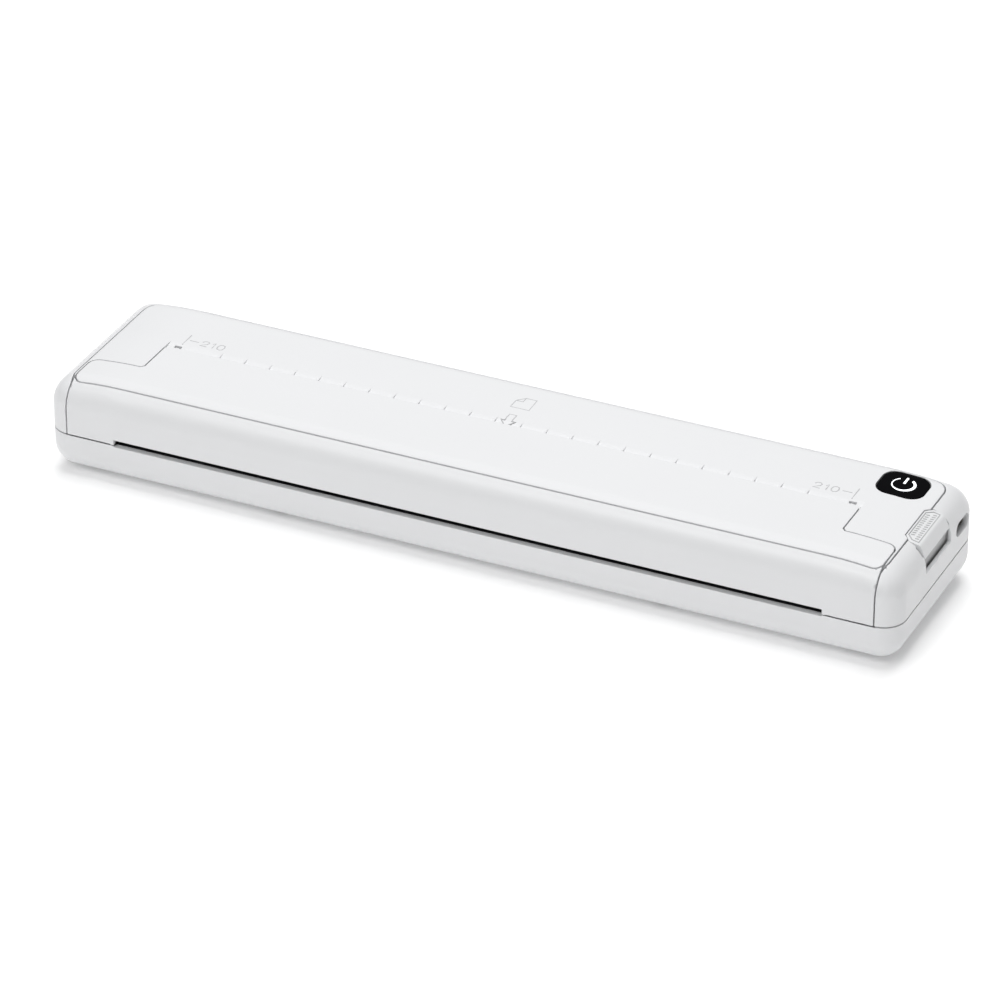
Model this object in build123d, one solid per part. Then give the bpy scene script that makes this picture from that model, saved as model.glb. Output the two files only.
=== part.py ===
"""A4 portable thermal printer with a front cover that hinges open over the platen roller.

Millimetres. X runs from the left end to the right end, Y from the paper outlet to the back,
and Z up. The origin is on the table, under the middle of the body.
"""
from build123d import *
import os
from math import acos, atan2, cos, degrees, hypot, pi, radians, sin, sqrt, tan

# Outer body
LENGTH = 264.6
DEPTH = 60.5
HEIGHT = 31.3
FOOT_HEIGHT = 1.2
PLAN_RADIUS = 7.0
TOP_RADIUS = 8.5
BOTTOM_RADIUS = 7.7
CROWN_START = 109.0
CROWN_RADIUS = 126.0
WALL = 2.0
SEAM = 0.4
EDGE_BEVEL = 5.5
FAR = 200.0
BEVEL_SHIFT = 2 - sqrt(2)
TINY = 0.05

# Where the shells part
LOW_SEAM_Z = 13.7
FRONT_SEAM_Y = -25.9
COVER_HALF = 125.4
DECK_HALF = 126.3
DECK_REAR_Y = 24.3
DECK_CORNER = 5.0
TAPER_Y = (-26.5, -22.5)
SHOULDER_Y = -13.4
TAB_HALF = 108.8
TAB_REAR_Y = 1.1
PLATE_CORNER = 2.8
FRONT_CORNER = 3.0
TAB_CORNER = 1.2
UNDER_PLATE_Z = 20.0
INNER_CORNER = 1.0
LIP_THICK = 0.8
LIP_RISE = 1.2
LIP_FRONT_Y = -20.0
LIP_ROOT = 1.0
CHEEK_X = (0.2, 1.4)
CHEEK_TOP_Z = 28.9
CLEAR = 0.3
BOSS_SIZE = 5.0
RIB_HALF = 0.8

# Paper inlet
INLET_SLOPE_Y = 3.9
INLET_DROP = 0.95
CHUTE_TIP = (-6.7, 23.6)
CHUTE_THICK = 1.2
RIB_PITCH = 8.0
RIB_COUNT = 24
RIB_WIDTH = 0.8
NOTCH_X = (104.6, 106.8)
NOTCH_REAR_Y = 2.8
CHUTE_DROP = 2.9
CHUTE_FOOT = 2.6

# Paper outlet
SLOT_HALF = 110.1
SLOT_FLOOR_Z = 13.1
SLOT_TOP_Z = 15.3
SWING_SCOOP = ((-1.05, -3.2), (0.0, -3.4), (1.6, -3.4), (2.9, -2.3))

# Cover hinge
HINGE_Y = -28.05
HINGE_Z = 16.1
HINGE_PIN_R = 0.8
HINGE_LUG_R = 2.1
HINGE_LUG_X = (116.0, 125.2)
HINGE_PIN_X = (118.2, 127.4)
HINGE_BOSS_X = (125.6, 128.6)
HINGE_BOSS_HALF = 1.9
RUN_GAP = 0.05

# Platen roller
PLATEN_Y = -20.0
PLATEN_Z = 19.5
PLATEN_R = 5.0
PLATEN_HALF = 108.6
SHAFT_R = 2.0
SHAFT_LEFT_X = -119.4
SHAFT_RIGHT_X = 117.0
BUSH_R = 3.0
BUSH_GAP = 0.15
BUSH_X = (109.2, 115.2)
ARM_X = (109.8, 112.3)
HOOD_R = 5.9
FRAME_BAYS = 5
TEETH_PITCH = 7.0
TEETH_COUNT = 30

# Print head, set at 45 degrees under the back of the roller
HEAD_TILT = 45.0
HEAD_GAP = 0.3
HEAD_HALF = 108.6
BOARD_S = (-3.0, 10.6)
BOARD_THICK = 1.0
SINK_S = (-3.0, 11.0)
SINK_THICK = 3.2
PIVOT_S = 7.0
PIVOT_DEPTH = 6.4
PIVOT_ROD_R = 1.5
PIVOT_LUG_X = ((-93.0, -88.0), (88.0, 93.0))
SPRING_X = (-81.0, -27.0, 27.0, 81.0)
SPRING_BENDS = 6
SPRING_WALL_DEPTH = 9.4

# Chassis
SIDE_X = (113.4, 115.0)
SIDE_FRONT_Y = -24.8
SIDE_REAR_Y = {-1: 13.0, 1: -1.5}
SIDE_BASE_Z = 4.2
FLOOR_Z = FOOT_HEIGHT + WALL
CHASSIS_REAR_Y = PLATEN_Y + 12.8
CHASSIS_THICK = 1.0
CHASSIS_EDGE_S = -1.5
CHASSIS_BEND_S = 3.4
GUIDE_REAR_Y = PLATEN_Y + 0.6
GUIDE_THICK = 1.8

# Gears, module 0.5
MODULE = 0.5
PLATEN_TEETH = 24
IDLER_TEETH = 14
TRANSFER_TEETH = 36
PINION_TEETH = 12
TOOTH_PLAY = 0.17
NEAR_PLANE_X = (-119.4, -117.0)
FAR_PLANE_X = (-122.6, -120.2)
IDLER_X = (-122.6, -117.0)
MOTOR_Y = 0.6
MOTOR_Z = 11.0
MOTOR_R = 7.5
MOTOR_X = (-112.6, -98.6)
MOTOR_SHAFT_R = 1.0
SHAFT_END_GAP = 0.1
STUD_R = 1.0

# Cover release
HOOK_AXIS_Y = PLATEN_Y + 8.5
HOOK_AXIS_Z = 5.2
HOOK_SHAFT_R = 1.25
HOOK_HUB_R = 1.75
HOOK_X = (115.4, 116.6)
LEVER_X = (121.4, 123.4)
LEVER_ARM = 8.0
LATCH_Y = (-8.9, 10.1)
LATCH_INNER_X = 124.8
LATCH_STEP_X = 126.8
LATCH_STEP = 2.2
LATCH_FACE = ((124.8, 30.15), (130.15, 29.0), (131.7, 25.1))
LATCH_TRAVEL = 1.6
WINDOW_FLOOR_Z = 20.7
SKIRT_X = 130.9
SKIRT_THICK = 1.6
LATCH_CREASE_R = 1.6
SKIRT_FOOT_Z = 19.0
LATCH_SPRING_X = 127.2
LATCH_SPRING_Y = 0.6
LATCH_SPRING_Z = (13.0, 20.0)

# Power button
POWER_X = 115.0
POWER_Y = 17.0
POWER_SIZE = (14.1, 13.1)
POWER_CORNER = 4.5
POWER_POCKET_Z = 28.4
POWER_FLANGE = 0.65
POWER_FLANGE_Z = (27.2, 28.2)

# Electronics
BOARD_BOX = ((-70.0, 126.0), (10.4, 27.0), (22.9, 24.3))
CHIPS = (
    ((-50.0, -40.0), (14.0, 24.0), 1.2), ((-20.0, -12.0), (15.0, 23.0), 3.0),
    ((6.0, 14.0), (13.0, 21.0), 1.4), ((40.0, 52.0), (12.0, 17.0), 3.4),
)
PORT_Y = 19.1
PORT_Z = 21.25
PORT_SHELL = (8.9, 3.2)
PORT_OPENING = (9.7, 4.3)
CELL_R = 9.2
CELL_LENGTH = 65.0
CELL_Y = 18.6
CELL_Z = 12.7
CELL_START_X = (-62.0, 5.0)
CRADLE_X = (-50.0, -12.0, 17.0, 58.0)
CRADLE_HALF = 8.0
POSTS = ((-66.0, 13.0), (-66.0, 24.0), (76.0, 13.0), (118.0, 13.0))
POST_SIZE = 4.0
SCREWS = ((-84.0, 23.6), (84.0, 23.6), (-60.0, -21.5), (60.0, -21.5))
SCREW_POCKET_R = 2.6
SCREW_POCKET_DEPTH = 1.2

# Feet
FOOT_X = 119.5
FOOT_Y = 17.5
FOOT_HALF = 4.5
FOOT_CUT = 1.8


def block(x, y, z):
    """Box between the low and high values given on each axis."""
    size = [high - low for low, high in (x, y, z)]
    middle = [(high + low) / 2 for low, high in (x, y, z)]
    return Pos(*middle) * Box(*size)


def prism(points, x, rounds=0.0):
    """Outline of (Y, Z) points carried along X, with its corners rounded."""
    outline = FilletPolyline(*points, radius=rounds, close=True) if rounds else Polyline(*points, close=True)
    face = make_face(outline)
    return extrude(Plane.YZ.offset(min(x)) * face, max(x) - min(x))


def rod(y, z, radius, x):
    """Round bar along X."""
    return extrude(Plane.YZ.offset(min(x)) * Pos(y, z) * Circle(radius), max(x) - min(x))


def octagon_bar(y, z, flat_radius, x):
    """Eight-sided bar along X, flat_radius from its middle to each flat."""
    face = Pos(y, z) * RegularPolygon(flat_radius, 8, major_radius=False, rotation=22.5)
    return extrude(Plane.YZ.offset(min(x)) * face, max(x) - min(x))


def mirrored(x, side):
    """The X range given for the right, or its mirror for the left, where side is -1."""
    return tuple(sorted((side * x[0], side * x[1])))


def crown_z(x):
    """Height of the top surface at a distance x from the middle."""
    past = max(abs(x) - CROWN_START, 0.0)
    return HEIGHT - CROWN_RADIUS + sqrt(CROWN_RADIUS ** 2 - past ** 2)


def envelope():
    """The outer body: round at its four corners, then along its top and bottom edges."""
    half_x = LENGTH / 2
    half_y = DEPTH / 2
    low = FOOT_HEIGHT
    shoulder = crown_z(half_x)
    mid_x = (CROWN_START + half_x) / 2
    mid_z = crown_z(mid_x)
    top = HEIGHT
    front_view = [
        Polyline((-half_x, shoulder), (-half_x, low), (half_x, low), (half_x, shoulder)),
        ThreePointArc((half_x, shoulder), (mid_x, mid_z), (CROWN_START, top)),
        Line((CROWN_START, top), (-CROWN_START, top)),
        ThreePointArc((-CROWN_START, top), (-mid_x, mid_z), (-half_x, shoulder)),
    ]
    face = make_face([edge for part in front_view for edge in part.edges()])
    body = extrude(Plane.XZ * face, half_y, both=True)
    body = fillet(body.edges().filter_by(Axis.Z), PLAN_RADIUS)
    rim = [
        edge for edge in body.edges()
        if edge.center().Z > shoulder - TINY and abs(abs(edge.center().X) - CROWN_START) > TINY
    ]
    body = fillet(rim, TOP_RADIUS)
    base = [edge for edge in body.edges() if edge.center().Z < low + TINY]
    return fillet(base, BOTTOM_RADIUS)


def cavity():
    """Room inside the walls: three views cut from one another, bevelled where the outside is round."""
    half_x = LENGTH / 2 - WALL
    half_y = DEPTH / 2 - WALL
    low = FLOOR_Z
    top = HEIGHT - WALL
    shoulder = crown_z(LENGTH / 2) - WALL
    cut = EDGE_BEVEL
    front_view = [
        (-half_x, low + cut), (-half_x + cut, low), (half_x - cut, low), (half_x, low + cut),
        (half_x, shoulder - cut), (half_x - cut, shoulder), (CROWN_START, top),
        (-CROWN_START, top), (-half_x + cut, shoulder), (-half_x, shoulder - cut),
    ]
    side_view = [
        (-half_y, low + cut), (-half_y + cut, low), (half_y - cut, low), (half_y, low + cut),
        (half_y, top - cut), (half_y - cut, top), (-half_y + cut, top), (-half_y, top - cut),
    ]
    room = extrude(Plane.XZ * make_face(Polyline(*front_view, close=True)), half_y, both=True)
    room &= prism(side_view, (-half_x, half_x))
    return room & column(wall_plan(WALL))


def cut_rectangle(half_x, half_y, cut):
    """Rectangle about the origin with its corners cut off at 45 degrees."""
    points = [
        (-half_x, cut - half_y), (cut - half_x, -half_y), (half_x - cut, -half_y), (half_x, cut - half_y),
        (half_x, half_y - cut), (half_x - cut, half_y), (cut - half_x, half_y), (-half_x, half_y - cut),
    ]
    return make_face(Polyline(*points, close=True))


def wall_plan(inset):
    """Plan of the walls drawn in by inset, its corners cut so that a lip along it keeps its thickness."""
    return cut_rectangle(LENGTH / 2 - inset, DEPTH / 2 - inset, EDGE_BEVEL + (WALL - inset) * BEVEL_SHIFT)


def square_post(x, y, size, z):
    return block((x - size / 2, x + size / 2), (y - size / 2, y + size / 2), z)


def centre_outline(grow):
    """Plan of everything between the end caps and the rear wall, widened by grow."""
    wide = DECK_HALF + grow
    narrow = COVER_HALF + grow
    rear = DECK_REAR_Y + grow
    corner = DECK_CORNER + grow
    points = [
        (-narrow, -FAR), (narrow, -FAR), (narrow, TAPER_Y[0]), (wide, TAPER_Y[1]),
        (wide, rear), (-wide, rear), (-wide, TAPER_Y[1]), (-narrow, TAPER_Y[0]),
    ]
    radii = [0, 0, 0, 0, corner, corner, 0, 0]
    return make_face(FilletPolyline(*points, radius=radii, close=True))


def cover_outline(grow):
    """Plan of the cover: shoulders beside a wide rear tab, widened by grow."""
    wide = COVER_HALF + grow
    tab = TAB_HALF + grow
    shoulder = SHOULDER_Y + grow
    rear = TAB_REAR_Y + grow
    inner = INNER_CORNER - grow * BEVEL_SHIFT
    tip = TAB_CORNER + grow * BEVEL_SHIFT
    right = [
        (wide, -FAR), (wide, shoulder), (tab + inner, shoulder), (tab, shoulder + inner),
        (tab, rear - tip), (tab - tip, rear),
    ]
    left = [(-x, y) for x, y in reversed(right)]
    outer = PLATE_CORNER + grow
    radii = [outer if abs(point[0]) == wide and point[1] == shoulder else 0 for point in right + left]
    return make_face(FilletPolyline(*right, *left, radius=radii, close=True))


def plate_outline(grow):
    """Plan of the cover's top plate: the cover outline with rounded front corners at the front seam."""
    front = FRONT_SEAM_Y - grow
    half = COVER_HALF + grow
    corner = FRONT_CORNER + grow
    band = Pos(0, (front + FAR) / 2) * RectangleRounded(2 * half, FAR - front, corner)
    return cover_outline(grow) & band


def latch_outline(grow):
    """Plan of the latch window, with a slanted step at both inner corners."""
    inner = LATCH_INNER_X - grow
    low, high = LATCH_Y[0] - grow, LATCH_Y[1] + grow
    points = [
        (inner, low + LATCH_STEP), (LATCH_STEP_X, low), (FAR, low),
        (FAR, high), (LATCH_STEP_X, high), (inner, high - LATCH_STEP),
    ]
    return make_face(Polyline(*points, close=True))


def column(plan, z=(-FAR, FAR)):
    """A plan outline carried from one height to another."""
    return extrude(Plane.XY.offset(z[0]) * plan, z[1] - z[0])


def stadium(size, x):
    """Round-ended slot outline across Y, carried along X, centred on the charging port."""
    face = Pos(PORT_Y, PORT_Z) * SlotOverall(size[0], size[1])
    return extrude(Plane.YZ.offset(x[0]) * face, x[1] - x[0])


# ---------------------------------------------------------------- shells

def bottom_case(shell):
    """Tray with a standing lip, screw bosses, board posts and a cradle for the cells."""
    top = LOW_SEAM_Z - SEAM / 2
    tray = shell & block((-FAR, FAR), (-FAR, FAR), (0, top))
    lip = column(wall_plan(WALL - LIP_THICK), (top - LIP_ROOT, top + LIP_RISE)) - column(wall_plan(WALL))
    lip -= block((-COVER_HALF - WALL, COVER_HALF + WALL), (-FAR, LIP_FRONT_Y), (0, FAR))
    tray += lip
    tray -= block((-SLOT_HALF, SLOT_HALF), (-FAR, LIP_FRONT_Y), (SLOT_FLOOR_Z, FAR))
    front = -DEPTH / 2
    hollow = [(HINGE_Y + y, HINGE_Z + z) for y, z in SWING_SCOOP]
    scoop = [(front, top), *hollow, (hollow[-1][0], FAR), (front, FAR)]
    for side in (-1, 1):
        tray -= prism(scoop, mirrored((SLOT_HALF, COVER_HALF + SEAM), side))
    floor = FLOOR_Z - TINY
    board_z = BOARD_BOX[2][0]
    for x, y in SCREWS:
        boss_top = board_z if y > 0 else SLOT_FLOOR_Z - GUIDE_THICK
        tray += square_post(x, y, BOSS_SIZE, (floor, boss_top))
        tray -= column(Pos(x, y) * RegularPolygon(SCREW_POCKET_R, 8), (0, FOOT_HEIGHT + SCREW_POCKET_DEPTH))
    for x, y in POSTS:
        tray += square_post(x, y, POST_SIZE, (floor, board_z))
    rest = (CELL_R + BUSH_GAP) * sqrt(2) - CELL_Z + floor
    front = CELL_Y - CRADLE_HALF
    wedge = [(CELL_Y - rest, floor), (front, floor + CRADLE_HALF - rest), (front, floor)]
    for x in CRADLE_X:
        tray += prism(wedge, (x - RIB_HALF, x + RIB_HALF))
    return tray + square_post(LATCH_SPRING_X, LATCH_SPRING_Y, BOSS_SIZE, (floor, LATCH_SPRING_Z[0]))


def upper_housing(shell, outer):
    """End caps and rear wall in one moulding, with the hinge bosses and the side windows."""
    low = LOW_SEAM_Z + SEAM / 2
    ring = shell & block((-FAR, FAR), (-FAR, FAR), (low, FAR))
    half = HINGE_BOSS_HALF
    boss_outline = [(HINGE_Y + half * y, HINGE_Z + half * z) for y, z in ((-1, -1), (1, -1), (1, 1), (-1, 1))]
    for side in (-1, 1):
        cheek = mirrored([COVER_HALF + offset for offset in CHEEK_X], side)
        wall = block(cheek, (-FAR, SHOULDER_Y), (low, CHEEK_TOP_Z))
        boss = prism(boss_outline, mirrored(HINGE_BOSS_X, side))
        ring += (wall + boss) & outer
    lip_room = column(wall_plan(WALL - LIP_THICK - 2 * RUN_GAP), (0, low + LIP_RISE))
    lip_front = COVER_HALF + WALL - SEAM
    lip_room -= block((-lip_front, lip_front), (-FAR, LIP_FRONT_Y - CLEAR), (0, FAR))
    ring -= lip_room
    ring -= column(centre_outline(SEAM / 2))
    window = column(latch_outline(0.0), (WINDOW_FLOOR_Z, FAR))
    skirt = (SKIRT_X - SKIRT_THICK - 0.2, SKIRT_X + CLEAR)
    below = SKIRT_FOOT_Z - LATCH_TRAVEL - SEAM
    thin = block(skirt, (LATCH_Y[0] - 2 * CLEAR, LATCH_Y[1] + 2 * CLEAR), (below, FAR))
    ring -= window + thin
    ring -= stadium(PORT_OPENING, (125.0, FAR))
    for side in (-1, 1):
        ring -= rod(HINGE_Y, HINGE_Z, HINGE_PIN_R, mirrored((0, HINGE_PIN_X[1]), side))
    return ring


def top_deck(shell):
    """Rear top plate with side wings and thin arms, the inlet lead-in, ribs and chute."""
    low = LOW_SEAM_Z
    deck = shell & column(centre_outline(-SEAM / 2), (low + 12.0, FAR))
    deck -= column(cover_outline(SEAM / 2))
    front = TAB_REAR_Y + SEAM / 2
    tab = TAB_HALF + SEAM / 2
    slope_foot = HEIGHT - INLET_DROP
    wedge = [(front - 1, slope_foot - 0.35), (INLET_SLOPE_Y, HEIGHT), (INLET_SLOPE_Y, FAR), (front - 1, FAR)]
    deck -= prism(wedge, (-tab, tab))
    under = HEIGHT - WALL
    tip_y, tip_z = CHUTE_TIP
    bend = under - CHUTE_DROP
    chute = [
        (front, under + TINY), (front, bend), (tip_y, tip_z), (tip_y, tip_z - CHUTE_THICK),
        (front + 1.0, bend - CHUTE_THICK), (front + CHUTE_FOOT, bend + CHUTE_THICK / 2),
        (front + CHUTE_FOOT, under + TINY),
    ]
    deck += prism(chute, (-TAB_HALF + 0.6, TAB_HALF - 0.6))
    rib = [
        (front, slope_foot - SEAM), (INLET_SLOPE_Y, HEIGHT - SEAM / 2), (INLET_SLOPE_Y, HEIGHT),
        (front, HEIGHT - CLEAR),
    ]
    first = -RIB_PITCH * (RIB_COUNT - 1) / 2
    for number in range(RIB_COUNT):
        x = first + number * RIB_PITCH
        deck += prism(rib, (x - RIB_WIDTH / 2, x + RIB_WIDTH / 2))
    for side in (-1, 1):
        deck -= block(mirrored(NOTCH_X, side), (0, NOTCH_REAR_Y), (HEIGHT - 4.0, FAR))
    deck -= column(latch_outline(0.0))
    deck -= power_prism(BUSH_GAP, (UNDER_PLATE_Z, FAR))
    pocket = [size / 2 + POWER_FLANGE + 2 * CLEAR for size in POWER_SIZE]
    x = (POWER_X - pocket[0], POWER_X + pocket[0])
    deck -= block(x, (POWER_Y - pocket[1], POWER_Y + pocket[1]), (UNDER_PLATE_Z, POWER_POCKET_Z))
    return deck


def cover_top_plate(shell):
    """Flat top of the cover, with the rear tab that forms the front edge of the inlet."""
    return shell & column(plate_outline(-SEAM / 2), (UNDER_PLATE_Z, FAR))


def cover_front_shell(shell, outer):
    """Front face of the cover, with a hinge lug inside each end and the outlet's upper edge."""
    half = COVER_HALF - SEAM / 2
    low = LOW_SEAM_Z + SEAM / 2
    face = shell & block((-half, half), (-FAR, FRONT_SEAM_Y + FRONT_CORNER / 2), (low, FAR))
    face -= column(plate_outline(SEAM / 2), (UNDER_PLATE_Z, FAR))
    face -= block((-FAR, FAR), (FRONT_SEAM_Y - SEAM / 2, FAR), (0, UNDER_PLATE_Z))
    for side in (-1, 1):
        lug = rod(HINGE_Y, HINGE_Z, HINGE_LUG_R, mirrored(HINGE_LUG_X, side))
        face += lug & outer
        face -= rod(HINGE_Y, HINGE_Z, HINGE_PIN_R + RUN_GAP, mirrored((HINGE_PIN_X[0] - CLEAR, FAR), side))
    return face - block((-SLOT_HALF, SLOT_HALF), (-FAR, 0), (0, SLOT_TOP_Z))


def cover_inner_frame(room):
    """Dark frame inside the cover: roller hood, upper paper guide and the arms that hold the bushes."""
    under = HEIGHT - WALL
    front = -DEPTH / 2 + WALL + 0.45
    rear = TAB_REAR_Y - 0.5
    edge_z = SLOT_TOP_Z + 0.1
    outline = [
        (front, edge_z), (PLATEN_Y - 4.5, edge_z), (PLATEN_Y, PLATEN_Z), (PLATEN_Y + 4.9, PLATEN_Z + 3.3),
        (rear, under - 1.3), (rear, under), (front, under),
    ]
    frame = prism(outline, (-ARM_X[0], ARM_X[0])) - rod(PLATEN_Y, PLATEN_Z, HOOD_R, (-FAR, FAR))
    lean = (under - PLATEN_Z - 4.6) / (rear - PLATEN_Y - 4.9)
    bay = [
        (PLATEN_Y + 7.4, PLATEN_Z + 5.4), (rear - 2.0, PLATEN_Z + 5.4 + lean * (rear - PLATEN_Y - 9.4)),
        (rear - 2.0, FAR), (PLATEN_Y + 7.4, FAR),
    ]
    pitch = 2 * ARM_X[0] / FRAME_BAYS
    for number in range(FRAME_BAYS):
        x = -ARM_X[0] + number * pitch
        frame -= prism(bay, (x + 1.0, x + pitch - 1.0))
    arm = [
        (front + 1.2, under), (PLATEN_Y - 5.0, PLATEN_Z - 3.0), (PLATEN_Y - 2.0, PLATEN_Z - 4.6),
        (PLATEN_Y + 2.0, PLATEN_Z - 4.6), (PLATEN_Y + 4.4, PLATEN_Z - 2.0), (PLATEN_Y + 5.4, under),
    ]
    for side in (-1, 1):
        frame += prism(arm, mirrored(ARM_X, side))
        frame -= rod(PLATEN_Y, PLATEN_Z, BUSH_R, mirrored((ARM_X[0] - 1, FAR), side))
        frame -= block(mirrored((TAB_HALF - 0.6, FAR), side), (SHOULDER_Y - 0.6, FAR), (0, FAR))
    return frame & room


def tear_bar():
    """Steel strip with a row of teeth, behind the upper edge of the outlet."""
    half = TEETH_PITCH * TEETH_COUNT / 2
    root_z = SLOT_TOP_Z + 1.1
    points = [(-half, root_z + 3.5), (-half, root_z)]
    for number in range(TEETH_COUNT):
        x = -half + number * TEETH_PITCH
        points += [(x + TEETH_PITCH / 2, root_z - 0.9), (x + TEETH_PITCH, root_z)]
    points += [(half, root_z + 3.5)]
    face = make_face(Polyline(*points, close=True))
    behind = DEPTH / 2 - WALL - 0.4
    return extrude(Plane.XZ.offset(behind) * face, 0.35)


# ---------------------------------------------------------------- platen and drive

def gear(teeth, y, z, phase, x, bore):
    """Spur gear with straight-flanked teeth; phase is the angle of one tooth, in degrees."""
    pitch_r = MODULE * teeth / 2
    tip_r = pitch_r + 0.8 * MODULE
    root_r = pitch_r - 1.15 * MODULE
    at_pitch = (pi * MODULE / 2 - TOOTH_PLAY) / 2
    slope = tan(radians(22))
    tip_half = (at_pitch - (tip_r - pitch_r) * slope) / tip_r
    root_half = (at_pitch + (pitch_r - root_r) * slope) / root_r
    points = []
    for number in range(teeth):
        middle = radians(phase) + 2 * pi * number / teeth
        corners = ((root_r, -root_half), (tip_r, -tip_half), (tip_r, tip_half), (root_r, root_half))
        for radius, turn in corners:
            points.append((y + radius * cos(middle + turn), z + radius * sin(middle + turn)))
    return prism(points, x) - rod(y, z, bore, x)


def drive_places():
    """Centres and tooth angles of the gear train, from the platen to the motor."""
    def mate(centre, phase, teeth, other, other_teeth):
        line = degrees(atan2(other[1] - centre[1], other[0] - centre[0]))
        offset = (phase - line) * teeth / 360
        return line + 180 + (0.5 - offset) * 360 / other_teeth

    platen = (PLATEN_Y, PLATEN_Z)
    reach = hypot(PLATEN_Y - HINGE_Y, PLATEN_Z - HINGE_Z)
    lean = degrees(atan2(PLATEN_Z - HINGE_Z, PLATEN_Y - HINGE_Y))
    down = lean - degrees(acos(-MODULE * PLATEN_TEETH / 2 / reach))
    span = MODULE * (PLATEN_TEETH + IDLER_TEETH) / 2
    idler = (PLATEN_Y + span * cos(radians(down)), PLATEN_Z + span * sin(radians(down)))
    motor = (MOTOR_Y, MOTOR_Z)
    gap = hypot(motor[0] - idler[0], motor[1] - idler[1])
    near = MODULE * (IDLER_TEETH + TRANSFER_TEETH) / 2
    far = MODULE * (TRANSFER_TEETH + PINION_TEETH) / 2
    line = atan2(motor[1] - idler[1], motor[0] - idler[0])
    turn = line + acos((near ** 2 + gap ** 2 - far ** 2) / (2 * near * gap))
    transfer = (idler[0] + near * cos(turn), idler[1] + near * sin(turn))
    idler_phase = mate(platen, 0.0, PLATEN_TEETH, idler, IDLER_TEETH)
    transfer_phase = mate(idler, idler_phase, IDLER_TEETH, transfer, TRANSFER_TEETH)
    pinion_phase = mate(transfer, transfer_phase, TRANSFER_TEETH, motor, PINION_TEETH)
    return idler, idler_phase, transfer, transfer_phase, motor, pinion_phase


def platen_bush(side):
    """Plastic bush pressed into an arm of the cover frame, with its nose in the side plate."""
    bush = rod(PLATEN_Y, PLATEN_Z, BUSH_R, mirrored(BUSH_X, side))
    return bush - rod(PLATEN_Y, PLATEN_Z, SHAFT_R + RUN_GAP, (-FAR, FAR))


def platen_rubber():
    return rod(PLATEN_Y, PLATEN_Z, PLATEN_R, (-PLATEN_HALF, PLATEN_HALF)) - platen_shaft()


def platen_shaft():
    return rod(PLATEN_Y, PLATEN_Z, SHAFT_R, (SHAFT_LEFT_X, SHAFT_RIGHT_X))


def motor_flange():
    """Steel face plate with a long rear end, which fixes the motor to the left side plate."""
    x = (-SIDE_X[0], MOTOR_X[0])
    plate = block(x, (MOTOR_Y - 5.0, MOTOR_Y + 10.2), (MOTOR_Z - 6.0, MOTOR_Z + 6.0))
    return plate - octagon_bar(MOTOR_Y, MOTOR_Z, MOTOR_SHAFT_R + BUSH_GAP, x)


def motor_body():
    """Round motor can with its plug block on top."""
    body = rod(MOTOR_Y, MOTOR_Z, MOTOR_R, MOTOR_X)
    top = MOTOR_Z + MOTOR_R
    plug_x = (MOTOR_X[1] - 9.0, MOTOR_X[1] - 3.0)
    return body + block(plug_x, (MOTOR_Y - 3, MOTOR_Y + 3), (top - 1, top + 1.2))


# ---------------------------------------------------------------- print head

def head_contact():
    """Where the heating line faces the roller, in Y and Z."""
    reach = PLATEN_R + HEAD_GAP
    return PLATEN_Y + reach * cos(radians(HEAD_TILT)), PLATEN_Z - reach * sin(radians(HEAD_TILT))


def head_point(s, depth):
    """Point s up the head from its heating line and depth behind its face, in Y and Z."""
    y, z = head_contact()
    along = (sin(radians(HEAD_TILT)), cos(radians(HEAD_TILT)))
    return y + s * along[0] + depth * along[1], z + s * along[1] - depth * along[0]


def head_slab(s, depth, x):
    corners = [(s[0], depth[0]), (s[1], depth[0]), (s[1], depth[1]), (s[0], depth[1])]
    return prism([head_point(*corner) for corner in corners], x)


def head_board():
    """Ceramic strip with the raised heating line."""
    board = head_slab(BOARD_S, (0, BOARD_THICK), (-HEAD_HALF, HEAD_HALF))
    return board + head_slab((-0.5, 0.5), (-0.12, 0.1), (-HEAD_HALF + 3, HEAD_HALF - 3))


def driver_chip_cover():
    return head_slab((5.6, 9.4), (-1.1, 0), (-HEAD_HALF + 6, HEAD_HALF - 6))


def head_heat_sink():
    """Aluminium bar with two grooves behind it and a pivot lug near each end."""
    back = BOARD_THICK + SINK_THICK
    sink = head_slab(SINK_S, (BOARD_THICK, back), (-HEAD_HALF, HEAD_HALF))
    for s in (2.6, 9.0):
        sink -= head_slab((s, s + 1.2), (back - 1.2, back + 1), (-FAR, FAR))
    for x in PIVOT_LUG_X:
        lug = head_slab((PIVOT_S - 2.6, PIVOT_S + 2.6), (back, PIVOT_DEPTH + 2.4), x)
        sink += lug - rod(*head_point(PIVOT_S, PIVOT_DEPTH), PIVOT_ROD_R + RUN_GAP, (-FAR, FAR))
    return sink


def coil_spring(radius, wire, turns, length):
    """Compression spring of square wire standing on the origin along Z, bent in straight steps."""
    steps = round(turns * SPRING_BENDS)
    path = Polyline(*[
        (
            radius * cos(2 * pi * step / SPRING_BENDS), radius * sin(2 * pi * step / SPRING_BENDS),
            wire / 2 + (length - wire) * step / steps,
        )
        for step in range(steps + 1)
    ])
    start = Plane(origin=path @ 0, x_dir=(1, 0, 0), z_dir=path % 0)
    return sweep(start * Rectangle(wire, wire), path=path, transition=Transition.RIGHT)


def head_spring(x):
    back = BOARD_THICK + SINK_THICK
    y, z = head_point(0.9, SPRING_WALL_DEPTH)
    normal = (0, -cos(radians(HEAD_TILT)), sin(radians(HEAD_TILT)))
    seat = Plane(origin=(x, y, z), x_dir=(1, 0, 0), z_dir=normal)
    return seat.location * coil_spring(1.9, 0.6, 2.5, SPRING_WALL_DEPTH - back)


# ---------------------------------------------------------------- chassis

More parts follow.
